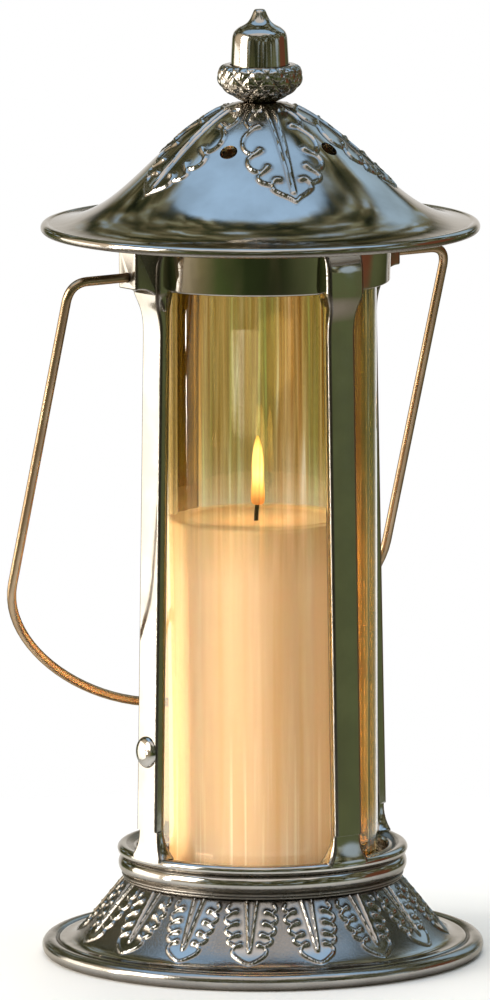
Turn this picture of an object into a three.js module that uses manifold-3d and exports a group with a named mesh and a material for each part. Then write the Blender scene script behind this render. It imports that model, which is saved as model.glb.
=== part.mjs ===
// Candle lantern: a flared base, four posts, a glass cylinder round a pillar candle,
// a lift-off vented roof with an acorn finial, and a wire bail. Millimetres, +Z up.
// The origin is the centre of the base on the surface it stands on.
// The bail turns about the X direction; the posts stand at -X, -Y, +X and +Y.
import * as THREE from "three";
import { mergeVertices } from "three/addons/utils/BufferGeometryUtils.js";
import Module from "manifold-3d";

const wasm = await Module();
wasm.setup();

// Clearances
const GAP = 0.3; // between pieces that touch
const HOLE_PLAY = 0.3; // round a shank in its hole

// Faceting
const TURNS = 36; // sides of the large turned pieces
const SMALL_TURNS = 24; // sides of the finial and the button
const HOLE_SIDES = 12; // sides of screws and holes
const WIRE_SIDES = 10;
const BORE_OVERRUN = 1; // a cutting tool's extra length past a face

// Glass cylinder
const GLASS_RADIUS = 59.3;
const GLASS_WALL = 2.2;
const GLASS_RISE = 10.4; // free rise under the roof's locating ring
const GLASS_SEAT_DEPTH = 2;
const GLASS_SEAT_PLAY = 0.9; // from the glass to each wall of its seat

// Lower ring that the posts stand on
const RING_PLAY = 4.8; // from the glass to the ring's opening
const RING_WIDTH = 10.6; // from the opening to the widest line
const RING_HEIGHT = 5.3;

// Base casting
const WELL_DEPTH = 4.8; // from the base's top face down to its deck
const COLUMN_WALL = 6.4; // from the well out to the neck
const MOULDING_BULGE = 3.7; // of the lower moulding over the neck
const MOULDING_RADIUS = 5.4;
const LIP_BULGE = 1.9; // of the thin lip under the moulding
const NECK_DROP = 13.3; // from the base's top down to the neck
const BASE_TOP = 51.8;
const RIM_RADIUS = 113.6;
const RIM_BEAD = 4.4;
const FLANGE_WIDTH = 2.4; // flat land inside the bead
const FLANGE_HEIGHT = 8.6;
const BASE_WALL = 3;
const DECK_THICKNESS = 3.4;
const PAD_DEPTH = 9.6; // of the thick pad that the foot screws bear on, under the deck
const PAD_WIDTH = 10;
const PAD_INSET = 4; // from the ring's opening in to the pad

// Posts
const POST_ANGLES = [180, 270, 0, 90];
const POST_SIDES = ["left", "front", "right", "back"];
const POST_WIDTH = 16.4;
const POST_THICKNESS = 6;
const POST_CORNER = 1.6;
const FOOT_SETBACK = 0.1; // of a post's outer face behind the ring's widest line
const POST_STANDS = 2.5; // outer face beyond the collar's lower edge
const FOOT_HEIGHT = 13.4; // up to the step across the outer face
const FOOT_STEP = 1.4; // depth of that step
const FOOT_FLARE = 3.2; // spread of the foot to each side
const FOOT_TOE = 4; // thickening of the foot towards the glass
const HEAD_FLARE = 2; // spread of the head to each side
const HEAD_STANDS = 7.4; // face of a plain head beyond the collar's lower edge
const HEAD_DROP = 8.9; // from the collar's top down to the head's top

// Collar
const COLLAR_BOTTOM = 348.3;
const COLLAR_HEIGHT = 32.9;
const COLLAR_PLAY = 3.3; // from the glass to the collar
const COLLAR_WALL = 4.2;
const COLLAR_TAPER = 1.2; // gain in radius from the lower edge to the top
const COLLAR_EDGE = 1.2; // rounding of the lower edge

// Bail and its bosses
const BAIL_WIRE = 4.8; // diameter
const BAIL_PASS = 5.3; // from the roof's rim to the wire as the bail swings over
const BAIL_BEND = 11;
const BAIL_LEG = 168; // straight leg, from the pivot
const BAIL_REACH = 247.8; // from the pivot to the bottom of the loop
const BAIL_ROUND = 0.45; // fullness of the loop's curve
const PIVOT_RISE = 8.2; // from the collar's lower edge to the pivot
const BOSS_STANDS = 18.1; // flat end of a boss beyond the collar's lower edge
const BOSS_WIDTH = 15;
const BOSS_DROP = 6; // from the pivot to the boss's underside
const BOSS_LIP = 2.4; // flat underside next to the boss's end
const BOSS_FILLET = 13; // hollow under the boss

// Roof
const ROOF_RIM_RADIUS = 112.3;
const ROOF_BEAD = 2.7;
const ROOF_RIM_DROP = 5; // from the collar's top down to the bead's centre
const ROOF_RISE = 63.8; // from the bead's centre to the top flat
const ROOF_TOP_RADIUS = 10.4;
const SHOULDER_RADIUS = 56.8; // where the dome runs into the flare
const SHOULDER_RISE = 32.2;
const SHOULDER_SLOPE = 0.965;
const ROOF_WALL = 3;
const VENT_COUNT = 5;
const VENT_RADIUS = 4.6;
const VENT_CIRCLE = 45;
const VENT_REACH = 8; // half the length of the tool that cuts a vent
const VENT_ANGLE = 284.5; // degrees, of the first vent
const SPIGOT_DEPTH = 6; // of the locating ring inside the collar
const SPIGOT_WALL = 4.8;

// Cast leaves: the height and width of their raised cords
const LEAF_RELIEF = 1.3;
const LEAF_CORD = 1.8;
const LEAF_BITE = 1; // depth of the cords into the casting

// Half a leaf, in shares of the face's length from its root and of half the pitch. The edge
// runs from the root to the tip, lobe and notch in turn, and a hook runs in from each notch.
const BASE_LEAF = {
  edge: [
    [0.034, 0.826], [0.101, 0.874], [0.169, 0.797], [0.243, 0.861], [0.32, 0.741], [0.387, 0.787],
    [0.464, 0.645], [0.524, 0.668], [0.594, 0.513], [0.698, 0.428], [0.84, 0],
  ],
  hooks: [[0.144, 0.518], [0.288, 0.446], [0.437, 0.381], [0.567, 0.294]],
  rib: [[0.034, 0.292], [0.664, 0.057]],
};
const BASE_LEAF_COUNT = 16;
const BASE_LEAF_ANGLE = 3.9; // degrees, of the first leaf
const ROOF_LEAF = {
  edge: [
    [0.077, 0.462], [0.112, 0.855], [0.202, 0.82], [0.3, 0.752], [0.367, 0.626], [0.416, 0.621],
    [0.47, 0.478], [0.515, 0.425], [0.541, 0.306], [0.584, 0.196], [0.625, 0],
  ],
  hooks: [[0.18, 0.407], [0.32, 0.41], [0.416, 0.301], [0.498, 0.188]],
  rib: [[0.077, 0.294], [0.567, 0.043]],
};

// Finial
const CUP_RADIUS = 22;
const CUP_FOOT = 10.2;
const CUP_HEIGHT = 19;
const CUP_RECESS = 3;
const ACORN_RADIUS = 15.1;
const ACORN_HEIGHT = 31;
const ACORN_TIP = 2;
const STUD_RADIUS = 3;
const STUD_REACH = 18.5; // into the acorn
const STUD_SHOWS = 2; // below the nut
const WASHER_RADIUS = 8;
const WASHER_THICKNESS = 1.6;
const NUT_FLATS = 10;
const NUT_HEIGHT = 5;

// Candle
const CANDLE_RADIUS = 47.8;
const CANDLE_HEIGHT = 177.2;
const CANDLE_BRIM = 9.7; // level brim round the melted pool
const CANDLE_DISH = 2; // depth of the pool
const CANDLE_EDGE = 2;
const PLATE_MARGIN = 5; // from the candle to the plate's edge
const PLATE_THICKNESS = 1.6;
const PLATE_RIM = 3;
const SPIKE_RADIUS = 2;
const SPIKE_HEIGHT = 22;
const WICK_RADIUS = 1.2;
const WICK_ROOT = 15; // length in the wax
const WICK_SHOWS = 10.5;
const WICK_LEAN = 1.4;
const WICK_OFFSET = 2.6; // from the candle's centre
const WICK_ANGLE = 143.3; // degrees

// Screws
const FOOT_SCREW_RADIUS = 1.5;
const FOOT_SCREW_BITE = 6; // into the post
const COLLAR_SCREW_RADIUS = 2;
const COLLAR_SCREW_DROP = 16.2; // below the collar's top
const COLLAR_SCREW_BITE = 4.2;
const SCREW_HEAD_RADIUS = 3;
const SCREW_HEAD_HEIGHT = 2.2;

// Button at the left post
const BUTTON_HEIGHT = 111.5;
const BUTTON_RADIUS = 8.1;
const BUTTON_CROWN = 3;
const BUTTON_SHANK = 2.2;

// Places that follow from the driving dimensions
const ringOpening = GLASS_RADIUS + RING_PLAY;
const neckRadius = ringOpening + COLUMN_WALL;
const neckHeight = BASE_TOP - NECK_DROP;
const deckTop = BASE_TOP - WELL_DEPTH;
const padHeight = deckTop - DECK_THICKNESS - PAD_DEPTH;
const ringBottom = BASE_TOP + GAP;
const ringTop = ringBottom + RING_HEIGHT;
const collarTop = COLLAR_BOTTOM + COLLAR_HEIGHT;
const collarInner = GLASS_RADIUS + COLLAR_PLAY;
const collarOuterLow = collarInner + COLLAR_WALL - COLLAR_TAPER / 2;
const glassBottom = deckTop - GLASS_SEAT_DEPTH + GAP;
const glassTop = collarTop - SPIGOT_DEPTH - GLASS_RISE;
const postOuterFoot = ringOpening + RING_WIDTH - FOOT_SETBACK;
const postOuterHead = collarOuterLow + POST_STANDS;
const headOuter = collarOuterLow + HEAD_STANDS;
const headTop = collarTop - HEAD_DROP;
const bossReach = collarOuterLow + BOSS_STANDS;
const pivotHeight = COLLAR_BOTTOM + PIVOT_RISE;
const roofRimHeight = collarTop - ROOF_RIM_DROP;
const roofTop = roofRimHeight + ROOF_RISE;
const cupBottom = roofTop + GAP;
const cupTop = cupBottom + CUP_HEIGHT;
const acornBottom = cupTop - CUP_RECESS + GAP;
const washerTop = roofTop - ROOF_WALL - GAP;
const nutTop = washerTop - WASHER_THICKNESS - GAP;
const studTop = acornBottom + STUD_REACH;
const plateBottom = deckTop + GAP;
const plateTop = plateBottom + PLATE_THICKNESS;
const plateRadius = CANDLE_RADIUS + PLATE_MARGIN;
const spikeTop = plateTop + SPIKE_HEIGHT;
const candleBottom = plateTop + GAP;
const candleTop = candleBottom + CANDLE_HEIGHT;
const wickFoot = candleTop - CANDLE_DISH - WICK_ROOT;
const footScrewCircle = ringOpening + COLUMN_WALL / 2;
const collarScrewHeight = collarTop - COLLAR_SCREW_DROP;
const wireRadius = BAIL_WIRE / 2;
const bailHalfSpan = ROOF_RIM_RADIUS + BAIL_PASS + wireRadius;
const bailEnd = headOuter - 2;

const radians = THREE.MathUtils.degToRad;
const v2 = (x, y) => new THREE.Vector2(x, y);

// A closed geometry as a solid, with its faces turned outwards
function solidOf(geometry) {
  const bare = new THREE.BufferGeometry();
  bare.setAttribute("position", geometry.getAttribute("position"));
  bare.setIndex(geometry.index);
  const merged = mergeVertices(bare, 1e-4);
  const index = Array.from(merged.index.array);
  const triangles = [];
  for (let i = 0; i < index.length; i += 3) {
    const [a, b, c] = index.slice(i, i + 3);
    if (a !== b && b !== c && c !== a) triangles.push(a, b, c);
  }
  const build = (triVerts) =>
    new wasm.Manifold(
      new wasm.Mesh({
        numProp: 3,
        vertProperties: new Float32Array(merged.getAttribute("position").array),
        triVerts: new Uint32Array(triVerts),
      }),
    );
  const made = build(triangles);
  return made.volume() > 0 ? made : build(triangles.reverse());
}

// A solid's surface as a three.js geometry
function geometryOf(solid) {
  const mesh = solid.getMesh();
  const geometry = new THREE.BufferGeometry();
  geometry.setAttribute("position", new THREE.BufferAttribute(mesh.vertProperties, 3));
  geometry.setIndex(new THREE.BufferAttribute(mesh.triVerts, 1));
  geometry.computeVertexNormals();
  return geometry;
}

// A profile of [radius, height] points turned about the vertical axis
function turned(points, sides = TURNS) {
  const profile = points.map((p) => (p.isVector2 ? p : v2(...p)));
  const first = profile[0];
  const last = profile[profile.length - 1];
  const onAxis = first.x === 0 && last.x === 0;
  if (!onAxis) profile.push(first.clone());
  return solidOf(new THREE.LatheGeometry(profile, sides).rotateX(Math.PI / 2));
}

// A round bar from one point to another
function bar(radius, from, to, sides = HOLE_SIDES) {
  const start = new THREE.Vector3(...from);
  const along = new THREE.Vector3(...to).sub(start);
  const geometry = new THREE.CylinderGeometry(radius, radius, along.length(), sides);
  geometry.translate(0, along.length() / 2, 0);
  const turn = new THREE.Quaternion().setFromUnitVectors(
    new THREE.Vector3(0, 1, 0),
    along.clone().normalize(),
  );
  geometry.applyQuaternion(turn).translate(start.x, start.y, start.z);
  return solidOf(geometry);
}

// Points of a circular arc in a profile, angles in degrees
function arc(x, y, radius, from, to, steps) {
  return Array.from({ length: steps + 1 }, (_, i) => {
    const angle = radians(from + ((to - from) * i) / steps);
    return v2(x + radius * Math.cos(angle), y + radius * Math.sin(angle));
  });
}

// Points of a cubic curve through four control points
function curve(a, b, c, d, steps) {
  const bezier = new THREE.CubicBezierCurve(v2(...a), v2(...b), v2(...c), v2(...d));
  return bezier.getPoints(steps);
}

// A point at an angle in degrees, a radius and a height
function around(angle, radius, z) {
  return [radius * Math.cos(radians(angle)), radius * Math.sin(radians(angle)), z];
}

// A run of profile points moved sideways by a wall thickness
function offset(points, distance) {
  return points.map((p, i) => {
    const before = points[Math.max(i - 1, 0)];
    const after = points[Math.min(i + 1, points.length - 1)];
    const along = after.clone().sub(before).normalize();
    return v2(p.x + along.y * distance, p.y - along.x * distance);
  });
}

// Rounded rectangles stacked at stations of height, inner and outer radius and half width
function lofted(stations, corner) {
  const loops = stations.map(({ z, inner, outer, half }) => {
    const loop = [];
    for (const [sx, sy, start] of [[1, 1, 0], [-1, 1, 90], [-1, -1, 180], [1, -1, 270]]) {
      const x = sx > 0 ? outer - corner : inner + corner;
      const y = sy * (half - corner);
      for (const p of arc(x, y, corner, start, start + 90, 2)) loop.push([p.x, p.y, z]);
    }
    return loop;
  });
  const count = loops[0].length;
  const index = [];
  for (let i = 0; i + 1 < loops.length; i++)
    for (let j = 0; j < count; j++) {
      const k = (j + 1) % count;
      const [a, b] = [i * count + j, i * count + k];
      index.push(a, b, b + count, a, b + count, a + count);
    }
  const top = (loops.length - 1) * count;
  for (let j = 1; j + 1 < count; j++) {
    index.push(0, j + 1, j);
    index.push(top, top + j, top + j + 1);
  }
  const geometry = new THREE.BufferGeometry();
  geometry.setAttribute("position", new THREE.Float32BufferAttribute(loops.flat(2), 3));
  geometry.setIndex(index);
  return solidOf(geometry);
}

// Raised leaves round a turned face, whose points run outwards from the leaves' roots
function castLeaves(face, { edge, hooks, rib }, count, firstAngle) {
  const line = new THREE.Path(face);
  const length = line.getLength();
  const flat = ([along, aside]) =>
    v2(along * length, (aside * line.getPoint(along).x * Math.PI) / count);
  const half = LEAF_CORD / 2;
  const rim = edge.map(flat);
  const outer = offset(rim, -half);
  const inner = offset(rim, half).slice(0, -1).flatMap((p, i) => {
    if (i === 0 || i % 2 === 1) return [p];
    const end = flat(hooks[i / 2 - 1]);
    return [v2(end.x - half, end.y), v2(end.x + half, end.y)];
  });
  const mirror = (points) => points.map((p) => v2(p.x, -p.y));
  const innerTip = v2(rim[rim.length - 1].x - LEAF_CORD, 0);
  const cords = [...outer, ...mirror(outer).reverse(), ...mirror(inner), innerTip, ...inner.reverse()];
  const ribSide = rib.map(flat);
  const middle = [...ribSide, ...mirror(ribSide).reverse()];
  const low = Math.min(...face.map((p) => p.y)) - 2 * LEAF_BITE;
  const high = Math.max(...face.map((p) => p.y)) + 2 * LEAF_RELIEF;
  const prism = (points, turn) => {
    const plan = points.map((p) => {
      const radius = line.getPoint(p.x / length).x;
      return v2(radius * Math.cos(turn + p.y / radius), radius * Math.sin(turn + p.y / radius));
    });
    const block = new THREE.ExtrudeGeometry(new THREE.Shape(plan), {
      depth: high - low,
      bevelEnabled: false,
    });
    return solidOf(block.translate(0, 0, low));
  };
  const prisms = Array.from({ length: count }, (_, i) => {
    const turn = radians(firstAngle + (360 / count) * i);
    return [prism(cords, turn), prism(middle, turn)];
  });
  const skin = turned([...offset(face, -LEAF_RELIEF), ...offset(face, LEAF_BITE).reverse()]);
  return wasm.Manifold.union(prisms.flat()).intersect(skin);
}

// Lower ring: outline with its opening inside and the rounded moulding outside
function ringOutline(grow = 0) {
  const opening = ringOpening;
  const widest = opening + RING_WIDTH;
  const low = ringBottom;
  const high = ringTop + grow;
  const edge = widest + grow;
  return [
    [opening, low],
    [edge - 2.1, low],
    [edge - 1.1, low + RING_HEIGHT * 0.22],
    [edge - 0.2, low + RING_HEIGHT * 0.48],
    [edge, high - RING_HEIGHT * 0.3],
    [edge - 0.4, high - RING_HEIGHT * 0.1],
    [edge - 1.5, high],
    [edge - 4.7, high - 0.4],
    [opening + 2.4, high - 1.5],
    [opening + 1.1, high - 1.4],
    [opening, high - 2.2],
  ];
}

function lowerRing() {
  let ring = turned(ringOutline());
  for (const angle of POST_ANGLES)
    ring = ring.subtract(footScrewHole(angle, ringBottom, ringTop));
  return ring;
}

// A hole for a foot screw between two heights, run past both
function footScrewHole(angle, from, to) {
  const low = around(angle, footScrewCircle, from - BORE_OVERRUN);
  const high = around(angle, footScrewCircle, to + BORE_OVERRUN);
  return bar(FOOT_SCREW_RADIUS + HOLE_PLAY, low, high);
}

// Base: bead, flange, skirt, neck and moulding outside; seat, well and deck on top
function base() {
  const beadX = RIM_RADIUS - RIM_BEAD;
  const flangeOuter = beadX - RIM_BEAD * 0.75 - 1.6;
  const flangeInner = flangeOuter - FLANGE_WIDTH;
  const spread = flangeInner - neckRadius;
  const rise = neckHeight - FLANGE_HEIGHT;
  const skirt = curve(
    [flangeInner, FLANGE_HEIGHT],
    [flangeInner - spread * 0.3, FLANGE_HEIGHT],
    [flangeInner - spread * 0.42, FLANGE_HEIGHT + rise * 0.31],
    [neckRadius, neckHeight],
    7,
  );
  const mouldingX = neckRadius + MOULDING_BULGE - MOULDING_RADIUS;
  const mouldingZ = BASE_TOP - MOULDING_RADIUS * 0.82;
  const lipTop = mouldingZ - MOULDING_RADIUS * 0.9;
  const outside = [
    ...arc(beadX, RIM_BEAD, RIM_BEAD, 270, 480, 7),
    v2(flangeOuter + 0.7, FLANGE_HEIGHT - 1.4),
    v2(flangeOuter, FLANGE_HEIGHT),
    ...skirt,
    v2(neckRadius + LIP_BULGE, lipTop - 1.1),
    v2(neckRadius + LIP_BULGE, lipTop - 0.1),
    ...arc(mouldingX, mouldingZ, MOULDING_RADIUS, -52, 54, 4),
  ];
  const seatInner = GLASS_RADIUS - GLASS_WALL - GLASS_SEAT_PLAY;
  const seatOuter = GLASS_RADIUS + GLASS_SEAT_PLAY;
  const seat = deckTop - GLASS_SEAT_DEPTH;
  const padInner = ringOpening - PAD_INSET;
  const underSkirt = offset(skirt, -BASE_WALL).filter(
    (p) => p.y < padHeight - 0.5 && p.x > padInner + PAD_WIDTH,
  );
  const lastUnder = underSkirt[underSkirt.length - 1];
  let made = turned([
    [0, deckTop],
    [seatInner, deckTop],
    [seatInner, seat],
    [seatOuter, seat],
    [seatOuter, deckTop],
    [ringOpening, deckTop],
    [ringOpening, BASE_TOP],
    ...outside.reverse(),
    [beadX - RIM_BEAD * 0.6, 0],
    [flangeOuter - 1, FLANGE_HEIGHT - BASE_WALL],
    ...underSkirt,
    [lastUnder.x - (padHeight - lastUnder.y) * 0.9, padHeight],
    [padInner, padHeight],
    [padInner, deckTop - DECK_THICKNESS],
    [0, deckTop - DECK_THICKNESS],
  ]);
  for (const angle of POST_ANGLES) {
    const well = [-BORE_OVERRUN, padHeight].map((z) => around(angle, footScrewCircle, z));
    made = made.subtract(bar(SCREW_HEAD_RADIUS + HOLE_PLAY, ...well));
    made = made.subtract(footScrewHole(angle, padHeight, BASE_TOP));
  }
  return made.add(castLeaves([...skirt].reverse(), BASE_LEAF, BASE_LEAF_COUNT, BASE_LEAF_ANGLE));
}

// Collar: a band with a slight taper and a rounded lower edge
function collarOuter(z) {
  return collarOuterLow + (COLLAR_TAPER * (z - COLLAR_BOTTOM)) / COLLAR_HEIGHT;
}

// The collar's outline, or grown by a clearance and filled inwards to cut a post with
function collarOutline(grow = 0) {
  const low = COLLAR_BOTTOM - grow;
  const inner = collarInner - (grow ? COLLAR_WALL : 0);
  return [
    [inner, low],
    ...arc(collarOuterLow + grow - COLLAR_EDGE, low + COLLAR_EDGE, COLLAR_EDGE, 270, 360, 2),
    [collarOuter(collarTop) + grow, collarTop],
    [inner, collarTop],
  ];
}

// A hole for a collar screw between two radii, run past both
function collarScrewHole(angle, from, to) {
  const near = around(angle, from - BORE_OVERRUN, collarScrewHeight);
  const far = around(angle, to + BORE_OVERRUN, collarScrewHeight);
  return bar(COLLAR_SCREW_RADIUS + HOLE_PLAY, near, far);
}

function topCollar() {
  let made = turned(collarOutline());
  for (const angle of POST_ANGLES)
    made = made.subtract(collarScrewHole(angle, collarInner, collarOuter(collarTop)));
  return made;
}

// Outer face radius of a post's shaft at a height
function postOuter(z) {
  const share = (z - ringTop) / (COLLAR_BOTTOM - ringTop);
  return postOuterFoot + (postOuterHead - postOuterFoot) * share;
}

// One post along +X: foot, shaft and head, with or without the bail's boss
function post(withBoss) {
  const half = POST_WIDTH / 2;
  const at = (z, more = {}) => ({
    z,
    inner: postOuter(z) - POST_THICKNESS,
    outer: postOuter(z),
    half,
    ...more,
  });
  const foot = ringTop - RING_HEIGHT / 2;
  const step = ringTop + FOOT_HEIGHT;
  const headBase = COLLAR_BOTTOM;
  const toe = (z, toeShare, flareShare, hollow) =>
    at(z, {
      inner: postOuter(z) - POST_THICKNESS - FOOT_TOE * toeShare,
      outer: postOuter(z) - FOOT_STEP * hollow,
      half: half + FOOT_FLARE * flareShare,
    });
  const headSection = (z, share) =>
    at(z, {
      outer: postOuter(z) + (headOuter - postOuter(headBase)) * share,
      half: half + HEAD_FLARE * share,
    });
  let made = lofted(
    [
      toe(foot, 1, 1, 0),
      toe(ringTop + 0.6, 1, 0.8, 0.2),
      toe(ringTop + FOOT_HEIGHT * 0.25, 1, 0.35, 0.7),
      toe(ringTop + FOOT_HEIGHT * 0.55, 1, 0.1, 0.95),
      toe(step - 1, 0.4, 0, 0.9),
      at(step),
      at(headBase - 26),
      headSection(headBase - 14, 0.12),
      headSection(headBase - 5, 0.5),
      headSection(headBase + 2, 1),
      headSection(headTop, 1),
    ],
    POST_CORNER,
  );
  if (withBoss) made = made.add(boss()).subtract(wireBore());
  made = made.subtract(turned(ringOutline(GAP)));
  made = made.subtract(turned(collarOutline(GAP)));
  made = made.subtract(footScrewHole(0, foot, ringTop + FOOT_SCREW_BITE));
  const biteEnd = collarOuter(collarScrewHeight) + COLLAR_SCREW_BITE;
  return made.subtract(collarScrewHole(0, collarInner, biteEnd));
}

// Boss on a bail post: a block with a flat end and a hollow underside
function boss() {
  const low = pivotHeight - BOSS_DROP;
  const root = postOuterHead - 1;
  const hollow = arc(bossReach - BOSS_LIP, low - BOSS_FILLET, BOSS_FILLET, 168, 90, 6);
  const outline = new THREE.Shape([
    v2(root, hollow[0].y),
    ...hollow,
    v2(bossReach, low),
    v2(bossReach, headTop),
    v2(root, headTop),
  ]);
  const block = new THREE.ExtrudeGeometry(outline, { depth: BOSS_WIDTH, bevelEnabled: false });
  block.translate(0, 0, -BOSS_WIDTH / 2).rotateX(Math.PI / 2);
  return solidOf(block);
}

function wireBore() {
  const ends = [bailEnd - BORE_OVERRUN, bossReach + BORE_OVERRUN];
  return bar(wireRadius + HOLE_PLAY, ...ends.map((r) => around(0, r, pivotHeight)));
}

// How far the bail leans out to rest its loop on the back post
function bailLean() {
  const restHeight = pivotHeight - BAIL_REACH * 0.95;
  return Math.asin((postOuter(restHeight) + wireRadius + GAP) / BAIL_REACH);
}

// Bail: from one end in its boss, along the leg, round the loop and back
function bailHandle() {
  const point = (u, s) => new THREE.Vector3(u, 0, -s);
  const span = bailHalfSpan;
  const drop = BAIL_REACH - BAIL_LEG;
  const half = [
    new THREE.LineCurve3(point(bailEnd, 0), point(span - BAIL_BEND, 0)),
    new THREE.QuadraticBezierCurve3(
      point(span - BAIL_BEND, 0),
      point(span, 0),
      point(span, BAIL_BEND),
    ),
    new THREE.LineCurve3(point(span, BAIL_BEND), point(span, BAIL_LEG)),
    new THREE.CubicBezierCurve3(
      point(span, BAIL_LEG),
      point(span, BAIL_LEG + drop * BAIL_ROUND),
      point(span * BAIL_ROUND, BAIL_REACH),
      point(0, BAIL_REACH),
    ),
  ];
  const steps = [1, 4, 2, 9];
  const points = half.flatMap((part, i) => part.getPoints(steps[i]).slice(i ? 1 : 0));
  const other = points.slice(0, -1).reverse();
  const route = [...points, ...other.map((p) => new THREE.Vector3(-p.x, p.y, p.z))];
  const tube = sweep(route, wireRadius, WIRE_SIDES);
  tube.rotateX(bailLean()).translate(0, 0, pivotHeight);
  return solidOf(tube);
}

// A round bar of many-sided section along a route in one plane (the XZ plane)
function sweep(route, radius, sides) {
  const positions = [];
  const index = [];
  route.forEach((p, i) => {
    const before = route[Math.max(i - 1, 0)];
    const after = route[Math.min(i + 1, route.length - 1)];
    const along = after.clone().sub(before).normalize();
    const out = new THREE.Vector3(-along.z, 0, along.x);
    for (let j = 0; j < sides; j++) {
      const angle = (2 * Math.PI * j) / sides;
      const side = out.clone().multiplyScalar(radius * Math.cos(angle));
      positions.push(p.x + side.x, p.y + radius * Math.sin(angle), p.z + side.z);
    }
  });
  for (let i = 0; i + 1 < route.length; i++)
    for (let j = 0; j < sides; j++) {
      const k = (j + 1) % sides;
      const [a, b] = [i * sides + j, i * sides + k];
      index.push(a, b, b + sides, a, b + sides, a + sides);
    }
  const end = (route.length - 1) * sides;
  for (let j = 1; j + 1 < sides; j++) {
    index.push(0, j + 1, j);
    index.push(end, end + j, end + j + 1);
  }
  const geometry = new THREE.BufferGeometry();
  geometry.setAttribute("position", new THREE.Float32BufferAttribute(positions, 3));
  geometry.setIndex(index);
  return geometry;
}

// Roof: dome and flare with a beaded rim, leaves between its vents, a seat and a ring inside
function roofOutside() {
  const beadX = ROOF_RIM_RADIUS - ROOF_BEAD;
  const flareX = beadX - ROOF_BEAD;
  const shoulderZ = roofRimHeight + SHOULDER_RISE;
  const handle = SHOULDER_RADIUS * 0.24;
  const dome = curve(
    [ROOF_TOP_RADIUS, roofTop],
    [ROOF_TOP_RADIUS + SHOULDER_RADIUS * 0.25, roofTop - ROOF_RISE * 0.04],
    [SHOULDER_RADIUS - handle, shoulderZ + handle * SHOULDER_SLOPE],
    [SHOULDER_RADIUS, shoulderZ],
    6,
  );
  const flare = curve(
    [SHOULDER_RADIUS, shoulderZ],
    [SHOULDER_RADIUS + handle * 1.15, shoulderZ - handle * 1.15 * SHOULDER_SLOPE],
    [flareX - (flareX - SHOULDER_RADIUS) * 0.42, roofRimHeight + ROOF_BEAD * 1.5],
    [flareX, roofRimHeight + ROOF_BEAD * 0.85],
    6,
  );
  return [...dome, ...flare.slice(1)];
}

// Height of a polyline at a radius
function heightAt(points, radius) {
  const i = points.findIndex((p) => p.x >= radius);
  const share = (radius - points[i - 1].x) / (points[i].x - points[i - 1].x);
  return points[i - 1].y + (points[i].y - points[i - 1].y) * share;
}

function roof() {
  const outside = roofOutside();
  const inside = offset(outside, ROOF_WALL);
  const beadX = ROOF_RIM_RADIUS - ROOF_BEAD;
  const spigotOuter = collarInner - GAP;
  const spigotInner = spigotOuter - SPIGOT_WALL;
  const seatOuter = collarOuter(collarTop) - 0.5;
  const seat = collarTop + GAP;
  const shell = turned([
    [STUD_RADIUS + HOLE_PLAY, roofTop],
    ...outside,
    ...arc(beadX, roofRimHeight, ROOF_BEAD, 130, -130, 6),
    ...inside.slice(1, -1).reverse(),
    [WASHER_RADIUS + 1, roofTop - ROOF_WALL],
    [STUD_RADIUS + HOLE_PLAY, roofTop - ROOF_WALL],
  ]);
  const ring = turned([
    [spigotInner, collarTop - SPIGOT_DEPTH],
    [spigotOuter, collarTop - SPIGOT_DEPTH],
    [spigotOuter, seat],
    [seatOuter, seat],
    [seatOuter, heightAt(inside, seatOuter) + ROOF_WALL * 0.4],
    [spigotInner, heightAt(inside, spigotInner) + ROOF_WALL * 0.4],
  ]);
  const leafAngle = VENT_ANGLE - 180 / VENT_COUNT;
  let made = shell.add(ring).add(castLeaves(outside, ROOF_LEAF, VENT_COUNT, leafAngle));
  const ventHeight = heightAt(outside, VENT_CIRCLE);
  for (let i = 0; i < VENT_COUNT; i++) {
    const angle = VENT_ANGLE + (360 / VENT_COUNT) * i;
    const [inner, outer] = [-VENT_REACH, VENT_REACH].map((reach) =>
      around(angle, VENT_CIRCLE + reach * SHOULDER_SLOPE, ventHeight + reach),
    );
    made = made.subtract(bar(VENT_RADIUS, inner, outer));
  }
  return made;
}

// Acorn cup and nut
function finialCup() {
  const bore = STUD_RADIUS + HOLE_PLAY;
  const recess = ACORN_RADIUS + GAP;
  const bowl = curve(
    [CUP_FOOT, cupBottom],
    [CUP_RADIUS * 0.8, cupBottom + CUP_HEIGHT * 0.16],
    [CUP_RADIUS * 1.08, cupBottom + CUP_HEIGHT * 0.42],
    [CUP_RADIUS * 0.975, cupBottom + CUP_HEIGHT * 0.8],
    7,
  );
  return turned(
    [
      [bore, cupBottom],
      ...bowl,
      [CUP_RADIUS * 0.9, cupTop - 0.4],
      [CUP_RADIUS * 0.8, cupTop],
      [recess, cupTop],
      [recess, cupTop - CUP_RECESS],
      [bore, cupTop - CUP_RECESS],
    ],
    SMALL_TURNS,
  );
}

function finialAcorn() {
  const bore = STUD_RADIUS + HOLE_PLAY;
  const boreTop = studTop + GAP;
  const z = (share) => acornBottom + ACORN_HEIGHT * share;
  const dome = curve(
    [ACORN_RADIUS * 0.93, z(0.52)],
    [ACORN_RADIUS * 0.88, z(0.74)],
    [ACORN_RADIUS * 0.44, z(0.72)],
    [ACORN_TIP * 1.5, z(0.93)],
    6,
  );
  return turned(
    [
      [0, boreTop],
      [bore, boreTop],
      [bore, acornBottom],
      [ACORN_RADIUS, acornBottom],
      [ACORN_RADIUS, z(0.2)],
      ...dome,
      [ACORN_TIP, z(1) - 0.6],
      [ACORN_TIP * 0.6, z(1)],
      [0, z(1)],
    ],
    SMALL_TURNS,
  );
}

// Stud, washer and nut that hold the finial to the roof
function finialStud() {
  return bar(STUD_RADIUS, [0, 0, nutTop - NUT_HEIGHT - STUD_SHOWS], [0, 0, studTop]);
}

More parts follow.
